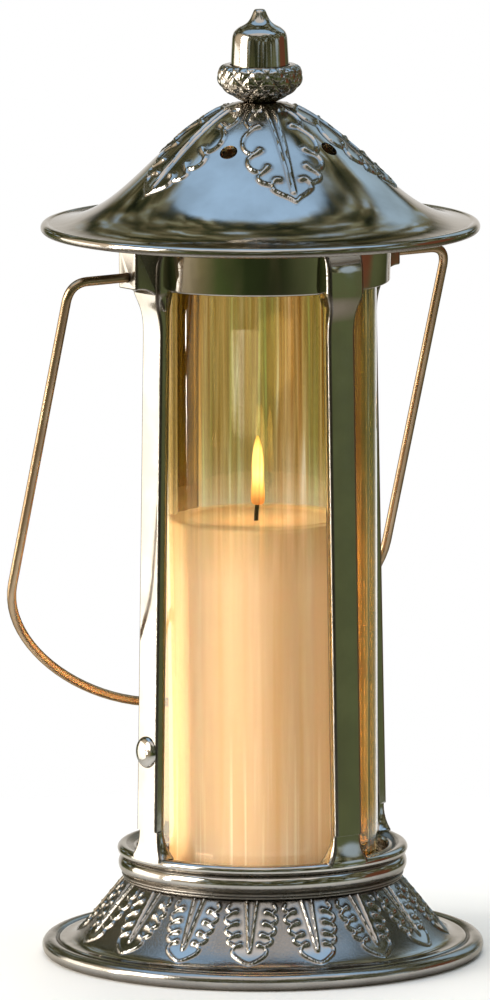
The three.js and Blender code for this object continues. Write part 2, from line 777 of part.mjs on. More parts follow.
function finialWasher() {
  const bore = STUD_RADIUS + HOLE_PLAY;
  return turned(
    [
      [bore, washerTop - WASHER_THICKNESS],
      [WASHER_RADIUS, washerTop - WASHER_THICKNESS],
      [WASHER_RADIUS, washerTop],
      [bore, washerTop],
    ],
    SMALL_TURNS,
  );
}

function finialNut() {
  const corner = NUT_FLATS / Math.sqrt(3);
  const bottom = nutTop - NUT_HEIGHT;
  const ends = [bottom - BORE_OVERRUN, nutTop + BORE_OVERRUN];
  const bore = bar(STUD_RADIUS + HOLE_PLAY, ...ends.map((z) => [0, 0, z]));
  return bar(corner, [0, 0, bottom], [0, 0, nutTop], 6).subtract(bore);
}

// Glass cylinder with eased ends
function glassChimney() {
  const inner = GLASS_RADIUS - GLASS_WALL;
  const ease = GLASS_WALL * 0.25;
  return turned([
    [inner, glassBottom],
    [GLASS_RADIUS, glassBottom],
    [GLASS_RADIUS, glassTop - ease],
    [GLASS_RADIUS - ease, glassTop],
    [inner + ease, glassTop],
    [inner, glassTop - ease],
  ]);
}

// Candle on its spiked plate
function candlePlate() {
  return turned([
    [0, plateBottom],
    [plateRadius - PLATE_THICKNESS, plateBottom],
    [plateRadius, plateBottom + PLATE_RIM],
    [plateRadius - PLATE_THICKNESS, plateBottom + PLATE_RIM],
    [plateRadius - PLATE_THICKNESS * 1.8, plateTop],
    [SPIKE_RADIUS, plateTop],
    [SPIKE_RADIUS * 0.8, spikeTop - SPIKE_RADIUS * 2],
    [0, spikeTop],
  ]);
}

function candle() {
  const socket = SPIKE_RADIUS + HOLE_PLAY;
  const pool = CANDLE_RADIUS - CANDLE_BRIM;
  const block = turned([
    [0, spikeTop + GAP],
    [socket, spikeTop + GAP],
    [socket, candleBottom],
    [CANDLE_RADIUS, candleBottom],
    [CANDLE_RADIUS, candleTop - CANDLE_EDGE],
    [CANDLE_RADIUS - CANDLE_EDGE * 0.3, candleTop - CANDLE_EDGE * 0.3],
    [CANDLE_RADIUS - CANDLE_EDGE, candleTop],
    [pool, candleTop],
    [pool * 0.94, candleTop - CANDLE_DISH * 0.5],
    [pool * 0.7, candleTop - CANDLE_DISH * 0.85],
    [0, candleTop - CANDLE_DISH],
  ]);
  const hole = bar(
    WICK_RADIUS + HOLE_PLAY,
    around(WICK_ANGLE, WICK_OFFSET, wickFoot - GAP),
    around(WICK_ANGLE, WICK_OFFSET, candleTop + BORE_OVERRUN),
  );
  return block.subtract(hole);
}

function wick() {
  const straight = WICK_ROOT + CANDLE_DISH;
  const bent = WICK_SHOWS - CANDLE_DISH;
  const route = [
    [0, 0],
    [0, straight],
    [WICK_LEAN * 0.3, straight + bent * 0.45],
    [WICK_LEAN, straight + bent],
  ].map(([x, z]) => new THREE.Vector3(x, 0, z));
  const [x, y] = around(WICK_ANGLE, WICK_OFFSET, 0);
  return solidOf(sweep(route, WICK_RADIUS, WIRE_SIDES).translate(x, y, wickFoot));
}

// A pan-head screw from its bearing face inwards along a direction
function screw(radius, bearing, tip) {
  const out = new THREE.Vector3(...bearing).sub(new THREE.Vector3(...tip)).normalize();
  const face = new THREE.Vector3(...bearing).addScaledVector(out, GAP);
  const headEnd = face.clone().addScaledVector(out, SCREW_HEAD_HEIGHT);
  const head = bar(SCREW_HEAD_RADIUS, face.toArray(), headEnd.toArray());
  const shank = bar(radius, face.addScaledVector(out, SCREW_HEAD_HEIGHT / 2).toArray(), tip);
  return head.add(shank);
}

function footScrew(angle) {
  return screw(
    FOOT_SCREW_RADIUS,
    around(angle, footScrewCircle, padHeight),
    around(angle, footScrewCircle, ringTop + FOOT_SCREW_BITE),
  );
}

function collarScrew(angle) {
  return screw(
    COLLAR_SCREW_RADIUS,
    around(angle, collarInner, collarScrewHeight),
    around(angle, collarOuter(collarScrewHeight) + COLLAR_SCREW_BITE, collarScrewHeight),
  );
}

// Button on the left post: a low dome whose short shank enters the outer face
function postButton() {
  const seat = postOuter(BUTTON_HEIGHT) + GAP;
  const profile = [
    [0, seat + BUTTON_CROWN],
    [BUTTON_RADIUS * 0.5, seat + BUTTON_CROWN * 0.88],
    [BUTTON_RADIUS * 0.85, seat + BUTTON_CROWN * 0.5],
    [BUTTON_RADIUS, seat],
    [BUTTON_SHANK, seat],
    [BUTTON_SHANK, seat - POST_THICKNESS / 2],
    [0, seat - POST_THICKNESS / 2],
  ];
  return turned(profile, SMALL_TURNS).rotate([0, -90, 0]).translate([0, 0, BUTTON_HEIGHT]);
}

function buttonHole() {
  const seat = postOuter(BUTTON_HEIGHT);
  const ends = [seat - POST_THICKNESS / 2 - GAP, seat + BORE_OVERRUN];
  return bar(BUTTON_SHANK + HOLE_PLAY, ...ends.map((r) => around(180, r, BUTTON_HEIGHT)));
}

// Finishes
const finish = (color, roughness, metalness, more = {}) => ({ color, roughness, metalness, ...more });
const CAST = finish(0xb9b2a6, 0.22, 1);
const WIRE = finish(0xa59d8f, 0.3, 1);
const STEEL = finish(0x9a9a98, 0.35, 1);
const AMBER = finish(0xd9962e, 0.05, 0, { transparent: true, opacity: 0.4 });
const WAX = finish(0xe8b98a, 0.55, 0);
const CORD = finish(0x2b211b, 0.9, 0);

const lantern = new THREE.Group();

function place(name, solid, look) {
  const mesh = new THREE.Mesh(geometryOf(solid), new THREE.MeshStandardMaterial(look));
  mesh.name = name;
  lantern.add(mesh);
}

place("base", base(), CAST);
place("lower_ring", lowerRing(), CAST);
place("top_collar", topCollar(), CAST);
POST_ANGLES.forEach((angle, i) => {
  const side = POST_SIDES[i];
  const carriesBail = angle % 180 === 0;
  let made = post(carriesBail).rotate([0, 0, angle]);
  if (side === "left") made = made.subtract(buttonHole());
  place("post_" + side, made, CAST);
  place("foot_screw_" + side, footScrew(angle), STEEL);
  place("collar_screw_" + side, collarScrew(angle), STEEL);
});
place("post_button", postButton(), CAST);
place("glass_chimney", glassChimney(), AMBER);
place("candle_plate", candlePlate(), STEEL);
place("candle", candle(), WAX);
place("wick", wick(), CORD);
place("roof", roof(), CAST);
place("finial_cup", finialCup(), CAST);
place("finial_acorn", finialAcorn(), CAST);
place("finial_stud", finialStud(), STEEL);
place("finial_washer", finialWasher(), STEEL);
place("finial_nut", finialNut(), STEEL);
place("bail_handle", bailHandle(), WIRE);

export default lantern;
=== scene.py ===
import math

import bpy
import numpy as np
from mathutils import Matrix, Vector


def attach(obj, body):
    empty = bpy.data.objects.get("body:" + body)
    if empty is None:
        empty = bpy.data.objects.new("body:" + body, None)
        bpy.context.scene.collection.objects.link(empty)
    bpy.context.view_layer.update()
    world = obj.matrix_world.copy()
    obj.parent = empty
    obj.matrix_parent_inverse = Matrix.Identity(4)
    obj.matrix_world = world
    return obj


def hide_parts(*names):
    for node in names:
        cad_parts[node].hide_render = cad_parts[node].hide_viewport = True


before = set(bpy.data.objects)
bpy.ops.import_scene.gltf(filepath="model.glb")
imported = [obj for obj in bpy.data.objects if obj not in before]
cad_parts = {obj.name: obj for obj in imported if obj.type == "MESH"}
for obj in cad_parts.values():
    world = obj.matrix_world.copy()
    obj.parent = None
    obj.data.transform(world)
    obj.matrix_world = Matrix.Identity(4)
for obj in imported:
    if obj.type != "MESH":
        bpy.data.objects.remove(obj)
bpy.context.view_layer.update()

# %% [markdown]
# # A candle lantern with a swinging bail
# The lantern is a set of polished metal castings round an amber glass cylinder. The packed
# model is the fixed frame, in metres, with the base on z = 0. Each visible casting is made
# again here with its full roundness and relief, in the same place as its solid, and the
# small screws that nobody sees keep their solids and only get a finish.

MM = 0.001

# %% [markdown]
# ## Camera
# A long lens from almost six metres keeps the rims close to flat ellipses, as in the
# photograph. The direction is given by a turn round the lantern and a height angle, because
# these two numbers can be read off the posts and the rims.

# %% Camera
VIEW_TURN = math.radians(-36.6)
VIEW_HEIGHT = math.radians(8.49)
VIEW_ROLL = math.radians(-0.21)
VIEW_DISTANCE = 5.946
VIEW_CENTRE = Vector((-6.7 * MM, 5.0 * MM, 234.9 * MM))
IMAGE_HEIGHT = 1000
PIXELS_PER_METRE = 1952
SENSOR = 36.0

away = Vector((
    math.sin(VIEW_TURN) * math.cos(VIEW_HEIGHT),
    -math.cos(VIEW_TURN) * math.cos(VIEW_HEIGHT),
    math.sin(VIEW_HEIGHT),
))
level = Vector((math.cos(VIEW_TURN), math.sin(VIEW_TURN), 0))
upright = away.cross(level)
right = level * math.cos(VIEW_ROLL) + upright * math.sin(VIEW_ROLL)
up = upright * math.cos(VIEW_ROLL) - level * math.sin(VIEW_ROLL)
lens = bpy.data.cameras.new("camera")
lens.sensor_fit = "VERTICAL"
lens.sensor_height = SENSOR
lens.lens = PIXELS_PER_METRE * VIEW_DISTANCE * SENSOR / IMAGE_HEIGHT
lens.clip_end = 100
camera = bpy.data.objects.new("camera", lens)
bpy.context.scene.collection.objects.link(camera)
camera.matrix_world = Matrix.Translation(VIEW_CENTRE + away * VIEW_DISTANCE) @ Matrix(
    (right, up, away)
).transposed().to_4x4()
bpy.context.scene.camera = camera
print("camera at", tuple(round(c, 3) for c in camera.location), "lens", round(lens.lens, 1), "mm")

# %% [markdown]
# ## Shaping tools
# Nearly everything on the lantern was turned or cast round one upright axis. A piece like
# that is easiest to draw as half an outline: one point is extruded along the outline and the
# line is then spun round the axis. These helpers do that with the same operators that
# would be used by hand.

# %% Selecting and finishing
def deselect():
    if bpy.context.object and bpy.context.object.mode != "OBJECT":
        bpy.ops.object.mode_set(mode="OBJECT")
    bpy.ops.object.select_all(action="DESELECT")


def pick(piece):
    deselect()
    piece.select_set(True)
    bpy.context.view_layer.objects.active = piece


def settle(piece, angle=35):
    """Puts the piece's place into its mesh and smooths it up to an edge angle in degrees."""
    pick(piece)
    bpy.ops.object.transform_apply(location=True, rotation=True, scale=True)
    bpy.ops.object.shade_smooth_by_angle(angle=math.radians(angle))
    print(piece.name, len(piece.data.polygons), "faces")
    return piece


def apply_modifier(piece, kind, **settings):
    pick(piece)
    modifier = piece.modifiers.new(kind.lower(), kind)
    for key, value in settings.items():
        setattr(modifier, key, value)
    bpy.ops.object.modifier_apply(modifier=modifier.name)


def copy_of(piece, name):
    twin = piece.copy()
    twin.data = piece.data.copy()
    twin.name = name
    bpy.context.scene.collection.objects.link(twin)
    return twin

# %% Turning an outline
def start_point(name, place):
    deselect()
    bpy.ops.mesh.primitive_plane_add(size=MM, location=(0, 0, 0))
    piece = bpy.context.object
    piece.name = name
    bpy.ops.object.mode_set(mode="EDIT")
    bpy.ops.mesh.select_all(action="SELECT")
    bpy.ops.mesh.merge(type="CENTER")
    bpy.ops.transform.translate(value=place)
    return piece


def draw_on(points):
    """Extrudes the selected point from place to place."""
    for a, b in zip(points, points[1:]):
        bpy.ops.mesh.extrude_region_move(TRANSFORM_OT_translate={"value": b - a})


def turned(name, outline, steps=160, closed=True):
    """Spins an outline of (radius, height) points in millimetres round the upright axis."""
    points = [Vector((r * MM, 0, z * MM)) for r, z in outline]
    if closed:
        points.append(points[0].copy())
    piece = start_point(name, points[0])
    draw_on(points)
    bpy.ops.mesh.select_all(action="SELECT")
    bpy.ops.mesh.spin(steps=steps, angle=2 * math.pi, center=(0, 0, 0), axis=(0, 0, 1))
    bpy.ops.mesh.select_all(action="SELECT")
    bpy.ops.mesh.remove_doubles(threshold=0.002 * MM)
    bpy.ops.mesh.normals_make_consistent(inside=False)
    bpy.ops.object.mode_set(mode="OBJECT")
    return piece

# %% Drawing outlines
def arc(x, y, radius, start, end, steps):
    angles = np.radians(np.linspace(start, end, steps + 1))
    return [(x + radius * math.cos(a), y + radius * math.sin(a)) for a in angles]


def lengths_along(points):
    """How far along a run each of its points lies."""
    return np.r_[0, np.cumsum(np.hypot(*np.diff(points, axis=0).T))]


def headings_of(points):
    """The direction of a run at each of its points, with length one."""
    headings = np.gradient(points, axis=0)
    return headings / np.linalg.norm(headings, axis=1)[:, None]


def smooth_line(points, spacing):
    """A smooth run through the given points, resampled at an even spacing."""
    p = np.array(points, float)
    padded = np.vstack([2 * p[0] - p[1], p, 2 * p[-1] - p[-2]])
    fine = []
    for i in range(1, len(padded) - 2):
        a, b, c, d = padded[i - 1 : i + 3]
        for t in np.linspace(0, 1, 24, endpoint=False):
            fine.append(0.5 * (2 * b + (c - a) * t + (2 * a - 5 * b + 4 * c - d) * t**2
                               + (3 * b - a - 3 * c + d) * t**3))
    fine = np.array(fine + [p[-1]])
    along = lengths_along(fine)
    even = np.linspace(0, along[-1], max(2, int(round(along[-1] / spacing)) + 1))
    return [tuple(np.array([np.interp(e, along, fine[:, k]) for k in (0, 1)])) for e in even]


def set_in(points, distance):
    """The same run moved to its right-hand side by a wall thickness."""
    p = np.array(points, float)
    headings = headings_of(p)
    return [tuple(q) for q in p + np.c_[headings[:, 1], -headings[:, 0]] * distance]


def cubic(a, b, c, d, steps):
    """Points of a Bezier curve from a to d, drawn towards its handles b and c."""
    t = np.linspace(0, 1, steps + 1)[:, None]
    a, b, c, d = (np.array(point, float) for point in (a, b, c, d))
    return [tuple(p) for p in a * (1 - t)**3 + 3 * b * t * (1 - t)**2 + 3 * c * t**2 * (1 - t) + d * t**3]


def resampled(points, places):
    """The points at the given distances along a run, and its length, in millimetres."""
    p = np.array(points, float)
    along = lengths_along(p)
    return [(np.interp(s, along, p[:, 0]), np.interp(s, along, p[:, 1])) for s in places], along[-1]

# %% [markdown]
# ## Finishes
# The castings are one polished white metal. Real ones are never a perfect mirror: hand
# polishing leaves slow waves and faint pits, and a dark patina stays in the recesses of the
# ornament. The same dark colour is also laid on as painted shade: under the lips and rims,
# inside the roof and along the rounded edges of the posts. Both are read from a number on each
# point of the mesh, called an attribute, because the leaves know best where their own hollows
# are, and each piece where its shade falls. Pieces without that attribute read it as zero and
# stay bright.

# %% Node helpers
def new_finish(name):
    material = bpy.data.materials.new(name)
    material.use_nodes = True
    tree = material.node_tree
    surface = tree.nodes["Principled BSDF"]
    return material, tree, surface


def add_node(tree, kind, inputs=None, **settings):
    node = tree.nodes.new(kind)
    for key, value in settings.items():
        setattr(node, key, value)
    for key, value in (inputs or {}).items():
        if isinstance(value, bpy.types.NodeSocket):
            tree.links.new(value, node.inputs[key])
        else:
            node.inputs[key].default_value = value
    return node


def object_noise(tree, scale, stretch=(1, 1, 1), detail=3.0, roughness=0.5):
    place = add_node(tree, "ShaderNodeTexCoord").outputs["Object"]
    mapped = add_node(tree, "ShaderNodeMapping", {"Vector": place, "Scale": stretch})
    return add_node(tree, "ShaderNodeTexNoise", {
        "Vector": mapped.outputs["Vector"], "Scale": scale, "Detail": detail, "Roughness": roughness,
    }).outputs["Fac"]


def ramp(tree, factor, stops):
    node = add_node(tree, "ShaderNodeValToRGB", {"Fac": factor})
    node.color_ramp.elements.remove(node.color_ramp.elements[1])
    for i, (position, colour) in enumerate(stops):
        element = node.color_ramp.elements[0] if i == 0 else node.color_ramp.elements.new(position)
        element.position = position
        element.color = (*colour, 1)
    return node.outputs["Color"]


def span(tree, factor, low, high, from_low=0.0, from_high=1.0):
    return add_node(tree, "ShaderNodeMapRange", {
        "Value": factor, "From Min": from_low, "From Max": from_high, "To Min": low, "To Max": high,
    }).outputs["Result"]


def mix_colour(tree, factor, a, b):
    node = add_node(tree, "ShaderNodeMix", data_type="RGBA")
    for socket, value in ((node.inputs[0], factor), (node.inputs[6], a), (node.inputs[7], b)):
        if isinstance(value, bpy.types.NodeSocket):
            tree.links.new(value, socket)
        else:
            socket.default_value = value
    return node.outputs[2]


def bump(tree, height, strength, distance):
    return add_node(tree, "ShaderNodeBump", {
        "Height": height, "Strength": strength, "Distance": distance,
    }).outputs["Normal"]

# %% Polished castings with a dark patina and painted shade
def metal_finish(name, bright, dull, roughness, waves, edge):
    """bright and dull are the colours of clean metal, edge tints it where it is seen at a slant."""
    material, tree, surface = new_finish(name)
    patina_and_painted_shade = add_node(tree, "ShaderNodeAttribute", attribute_name="patina_and_painted_shade").outputs["Fac"]
    cloud = object_noise(tree, 38, detail=4)
    grain = object_noise(tree, 900, detail=2)
    speck = object_noise(tree, 1500, detail=3, roughness=0.7)
    clean = mix_colour(tree, span(tree, cloud, 0, 1, 0.35, 0.65), (*bright, 1), (*dull, 1))
    # One dark colour for the patina in the hollows and for the painted shade.
    dark_patina_and_shade = ramp(tree, speck, [(0.38, (0.022, 0.017, 0.013)), (0.55, (0.07, 0.052, 0.038)),
                                 (0.68, (0.2, 0.16, 0.12))])
    tree.links.new(mix_colour(tree, patina_and_painted_shade, clean, dark_patina_and_shade), surface.inputs["Base Color"])
    surface.inputs["Metallic"].default_value = 1
    surface.inputs["Specular Tint"].default_value = (*edge, 1)
    polish = span(tree, cloud, roughness[0], roughness[1], 0.3, 0.7)
    worn = add_node(tree, "ShaderNodeMath", {0: patina_and_painted_shade, 1: 0.3, 2: polish}, operation="MULTIPLY_ADD")
    tree.links.new(worn.outputs[0], surface.inputs["Roughness"])
    slow = bump(tree, object_noise(tree, 55, detail=1.5), waves, 2 * MM)
    pits = add_node(tree, "ShaderNodeMath", {0: patina_and_painted_shade, 1: 0.5, 2: 0.018}, operation="MULTIPLY_ADD")
    fine = add_node(tree, "ShaderNodeBump", {
        "Height": grain, "Strength": pits.outputs[0], "Distance": 0.4 * MM, "Normal": slow,
    })
    tree.links.new(fine.outputs["Normal"], surface.inputs["Normal"])
    return material


cast_metal = metal_finish("cast_metal", (0.54, 0.52, 0.49), (0.43, 0.41, 0.38), (0.06, 0.14), 0.1,
                          (0.7, 0.66, 0.6))
bail_wire = metal_finish("bail_wire", (0.50, 0.37, 0.24), (0.38, 0.27, 0.17), (0.22, 0.32), 0.05,
                         (0.32, 0.25, 0.18))
steel = metal_finish("steel", (0.56, 0.56, 0.55), (0.47, 0.47, 0.46), (0.28, 0.4), 0.03, (1, 1, 1))
print("metal finishes:", [m.name for m in (cast_metal, bail_wire, steel)])

# %% [markdown]
# ## Amber glass
# The cylinder is thin glass with a golden tint. Upright streaks in its colour are painted
# reflections of the surroundings, some paler and some deeper. The streaks are noise stretched
# along the height, put through two colour ramps: one pale, and one deep of painted reflections
# that takes over round the candle's top and above it. Where the wall is seen at a slant, the
# pale part turns gold. A thin lustre, made with the coat of the shader, adds soft reflections.
# Light must reach the candle, so for shadow rays the glass is a tinted transparent film and not
# a solid lens.

# %% Glass finish
# Below the first height the glass carries pale painted reflections, above the second deep ones.
CLEAR_HEIGHT, DEEP_REFLECTION_HEIGHT = 200.0, 262.0


def glass_finish():
    material, tree, surface = new_finish("amber_glass")
    painted_reflection_streaks = object_noise(tree, 1, stretch=(70, 70, 1.6), detail=3, roughness=0.6)
    pale = ramp(tree, painted_reflection_streaks, [
        (0.34, (0.96, 0.80, 0.55)), (0.44, (0.98, 0.89, 0.74)), (0.60, (0.99, 0.92, 0.80)),
        (0.72, (0.97, 0.85, 0.64)),
    ])
    # Deep painted reflections of the surroundings, dark, olive and bright, above the candle.
    deep_painted_reflections = ramp(tree, painted_reflection_streaks, [
        (0.32, (0.34, 0.16, 0.04)), (0.39, (0.62, 0.38, 0.14)), (0.435, (0.99, 0.93, 0.78)),
        (0.46, (0.64, 0.50, 0.22)), (0.52, (0.48, 0.37, 0.16)), (0.56, (0.60, 0.64, 0.32)),
        (0.60, (0.46, 0.36, 0.14)), (0.65, (1.0, 0.78, 0.36)), (0.70, (0.55, 0.32, 0.09)),
    ])
    slant = add_node(tree, "ShaderNodeLayerWeight", {"Blend": 0.5}).outputs["Facing"]
    gold = mix_colour(tree, span(tree, slant, 0, 1, 0.12, 0.5), pale, (0.98, 0.68, 0.27, 1))
    place = add_node(tree, "ShaderNodeTexCoord").outputs["Object"]
    level = add_node(tree, "ShaderNodeSeparateXYZ", {0: place}).outputs["Z"]
    reflections_above_candle = span(tree, level, 0, 1, CLEAR_HEIGHT * MM, DEEP_REFLECTION_HEIGHT * MM)
    tree.links.new(mix_colour(tree, reflections_above_candle, gold, deep_painted_reflections), surface.inputs["Base Color"])
    surface.inputs["Transmission Weight"].default_value = 1
    surface.inputs["Roughness"].default_value = 0.015
    surface.inputs["IOR"].default_value = 1.47
    surface.inputs["Coat Weight"].default_value = 0.6
    surface.inputs["Coat IOR"].default_value = 1.8
    drawn = bump(tree, object_noise(tree, 1, stretch=(40, 40, 1.2), detail=2), 0.25, 1.5 * MM)
    tree.links.new(drawn, surface.inputs["Normal"])
    film = add_node(tree, "ShaderNodeBsdfTransparent", {"Color": (0.99, 0.96, 0.88, 1)})
    shadow = add_node(tree, "ShaderNodeLightPath").outputs["Is Shadow Ray"]
    either = add_node(tree, "ShaderNodeMixShader", {
        0: shadow, 1: surface.outputs[0], 2: film.outputs[0],
    })
    tree.links.new(either.outputs[0], tree.nodes["Material Output"].inputs["Surface"])
    return material


amber_glass = glass_finish()

# %% [markdown]
# ## Wax, wick and flame
# Candle wax lets light run a little way under its surface, which softens its shading, so the
# wax has some subsurface scattering. Its colour is a pale peach with long, faint upright
# streaks and white threads near its foot, both painted reflections. The flame gives light of
# its own: pale yellow in its body and orange at its foot, edge and tip.

# %% Wax finish
def wax_finish():
    material, tree, surface = new_finish("wax")
    painted_reflection_streaks = object_noise(tree, 1, stretch=(180, 180, 6), detail=3)
    mottle = object_noise(tree, 90, detail=4)
    body = ramp(tree, painted_reflection_streaks, [(0.35, (0.81, 0.62, 0.47)), (0.55, (0.84, 0.66, 0.52)),
                                (0.72, (0.90, 0.76, 0.64))])
    shade = mix_colour(tree, span(tree, mottle, 0, 0.3, 0.45, 0.75), body, (0.79, 0.61, 0.47, 1))
    place = add_node(tree, "ShaderNodeTexCoord").outputs["Object"]
    level = add_node(tree, "ShaderNodeSeparateXYZ", {0: place}).outputs["Z"]
    low = span(tree, level, 0.75, 0, 85 * MM, 125 * MM)
    # Painted reflections: white upright threads, strongest near the foot of the candle.
    painted_glint_threads = span(tree, object_noise(tree, 1, stretch=(420, 420, 4), detail=1), 0, 1, 0.60, 0.68)
    painted_glint_share = add_node(tree, "ShaderNodeMath", {0: low, 1: painted_glint_threads}, operation="MULTIPLY").outputs[0]
    tree.links.new(mix_colour(tree, painted_glint_share, shade, (0.98, 0.92, 0.86, 1)), surface.inputs["Base Color"])
    surface.inputs["Roughness"].default_value = 0.5
    surface.inputs["Subsurface Weight"].default_value = 0.3
    surface.inputs["Subsurface Radius"].default_value = (1.0, 0.45, 0.25)
    surface.inputs["Subsurface Scale"].default_value = 0.006
    tree.links.new(bump(tree, mottle, 0.2, 0.6 * MM), surface.inputs["Normal"])
    return material


wax = wax_finish()

# %% Cord and flame finishes
def cord_finish():
    material, tree, surface = new_finish("wick_cord")
    char = object_noise(tree, 700, detail=3)
    tree.links.new(ramp(tree, char, [(0.35, (0.006, 0.005, 0.004)), (0.7, (0.05, 0.032, 0.022))]),
                   surface.inputs["Base Color"])
    surface.inputs["Roughness"].default_value = 0.9
    tree.links.new(bump(tree, char, 0.6, 0.3 * MM), surface.inputs["Normal"])
    return material


FLAME_LOW, FLAME_HIGH = 232.6, 268.4


def flame_finish():
    material, tree, surface = new_finish("flame")
    place = add_node(tree, "ShaderNodeTexCoord").outputs["Object"]
    height = add_node(tree, "ShaderNodeSeparateXYZ", {0: place}).outputs["Z"]
    share = span(tree, height, 0, 1, FLAME_LOW * MM, FLAME_HIGH * MM)
    glow = ramp(tree, share, [
        (0.0, (0.22, 0.06, 0.02)), (0.1, (0.34, 0.15, 0.05)), (0.26, (0.7, 0.46, 0.17)),
        (0.45, (1.0, 0.86, 0.50)), (0.8, (1.0, 0.84, 0.46)), (1.0, (0.7, 0.36, 0.08)),
    ])
    slant = add_node(tree, "ShaderNodeLayerWeight", {"Blend": 0.5}).outputs["Facing"]
    rim = mix_colour(tree, span(tree, slant, 0, 0.85, 0.35, 0.9), glow, (0.42, 0.17, 0.03, 1))
    tree.links.new(rim, surface.inputs["Emission Color"])
    surface.inputs["Emission Strength"].default_value = 3.5
    surface.inputs["Base Color"].default_value = (0.3, 0.15, 0.05, 1)
    surface.inputs["Roughness"].default_value = 1
    return material


wick_cord = cord_finish()
flame_glow = flame_finish()

# %% Putting a piece in its place
def stands_for(piece, body, finish, slot, *nodes):
    piece.data.materials.clear()
    piece.data.materials.append(finish)
    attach(piece, body)
    if nodes:
        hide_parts(*nodes)

# %% [markdown]
# ## Cast relief
# The leaves are cast as round cords: one outlines the leaf, short hooks curl in from each
# notch of that outline, and two cords run down its middle. On the surface of the casting any
# point has a distance from the leaf's root and a distance sideways from its midline. The
# cords are drawn as lines in those two distances, and every point of the mesh is raised by
# how close it lies to a line. Sculpting with the mouse would give the same, but this way all
# the leaves are equal, as they are when they come from one pattern.

# %% Raising the relief
def places_of(piece):
    flat = np.empty(len(piece.data.vertices) * 3)
    piece.data.vertices.foreach_get("co", flat)
    return flat.reshape(-1, 3)


def set_places(piece, places):
    piece.data.vertices.foreach_set("co", places.ravel())


def push(places, angle, out, rise, amount):
    """Moves points by an amount in millimetres along (out, rise), seen at their angle."""
    places[:, 0] += out * np.cos(angle) * amount * MM
    places[:, 1] += out * np.sin(angle) * amount * MM
    places[:, 2] += rise * amount * MM


def cord_field(s, v, cords):
    """Height in millimetres, and how far the nearest cord lies in its own radii."""
    height = np.zeros_like(s)
    near = np.full_like(s, 99.0)
    for points, thick, thin, top in cords:
        line = np.array(points, float)
        for i, (a, b) in enumerate(zip(line, line[1:])):
            ab = b - a
            t = np.clip(((s - a[0]) * ab[0] + (v - a[1]) * ab[1]) / (ab @ ab), 0, 1)
            gap = np.hypot(s - a[0] - t * ab[0], v - a[1] - t * ab[1])
            radius = thick + (thin - thick) * (i + t) / (len(line) - 1)
            height = np.maximum(height, top * radius * np.exp(-(1.2 * gap / radius)**2))
            near = np.minimum(near, gap / radius)
    return height, near


def raise_leaves(piece, face_line, count, first_angle, leaf):
    """face_line runs outwards over the casting's face, in millimetres from the leaf's root."""
    line = np.array(face_line, float)
    along = lengths_along(line)
    slope = headings_of(line)
    p = places_of(piece)
    r = np.hypot(p[:, 0], p[:, 1]) / MM
    on_face = (np.abs(np.interp(r, line[:, 0], line[:, 1]) - p[:, 2] / MM) < 0.06) & (
        r > line[0, 0] - 0.05) & (r < line[-1, 0] + 0.05)
    angle = np.arctan2(p[:, 1], p[:, 0])
    pitch = 2 * math.pi / count
    turn = (angle - math.radians(first_angle) + pitch / 2) % pitch - pitch / 2
    s = np.interp(r, line[:, 0], along)
    height, patina_and_painted_shade = leaf(s, np.abs(turn) * r)
    height, patina_and_painted_shade = height * on_face, patina_and_painted_shade * on_face
    out = -np.interp(r, line[:, 0], slope[:, 1])
    rise = np.interp(r, line[:, 0], slope[:, 0])
    push(p, angle, out, rise, height)
    set_places(piece, p)
    print(piece.name, "relief up to", round(float(height.max()), 2), "mm")
    return patina_and_painted_shade


def ease(x, low, high):
    t = np.clip((x - low) / (high - low), 0, 1)
    return t * t * (3 - 2 * t)


def dark_patina_and_shade(piece, amounts):
    """Writes the patina and painted shade numbers; amounts has one value for each point of the mesh."""
    layer = piece.data.attributes.new("patina_and_painted_shade", "FLOAT", "POINT")
    layer.data.foreach_set("value", np.clip(amounts, 0, 1).astype(np.float32))
    piece.data.update()


def radius_and_height(piece):
    p = places_of(piece) / MM
    return np.hypot(p[:, 0], p[:, 1]), p[:, 2]

# %% [markdown]
# ## The base casting
# From the table up it has a round bead, a groove, a narrow flange, a flared skirt with a
# crown of sixteen leaves, a double lip and a fat moulding. The skirt carries fine relief and
# needs many more points than the rest, so it is a thin band of its own that lies in a shallow
# rebate of the body.

# %% Body of the base
FLARE = cubic((101.9, 8.6), (92.5, 8.6), (88.7, 17.9), (70.5, 38.5), 60)
BAND_SINK = 0.8
base_top = (
    arc(109.2, 4.4, 4.4, 270, 480, 26)
    + smooth_line([(106.5, 7.9), (105.7, 7.1), (105.0, 7.2), (104.3, 8.0)], 0.5)
    + set_in(FLARE, -BAND_SINK)[1:-1]
    + [(69.7, 38.6), (70.3, 39.6)]
    + arc(71.3, 40.5, 0.75, -70, 80, 6)
    + arc(71.8, 42.0, 0.75, -75, 80, 6)
    + arc(68.8, 47.4, 5.4, -50, 54, 22)
    + [(70.9, 51.8), (65.0, 51.8), (64.3, 51.6), (64.1, 51.0), (64.1, 47.0)]
    + [(60.2, 47.0), (60.2, 45.0), (56.2, 45.0), (56.2, 47.0), (0, 47.0)]
)
base_under = (
    [(0, 43.6), (60.1, 43.6), (60.1, 34.0), (69.9, 34.0)]
    + smooth_line([(74.9, 28.4), (80.4, 21.6), (84.9, 16.1), (88.9, 11.7), (92.7, 8.4), (96.9, 6.3),
                   (102.9, 5.6)], 2.5)
    + [(106.6, 0.0)]
)
base_body = turned("base_body", base_top[::-1] + base_under[::-1], steps=192, closed=False)
r, z = radius_and_height(base_body)
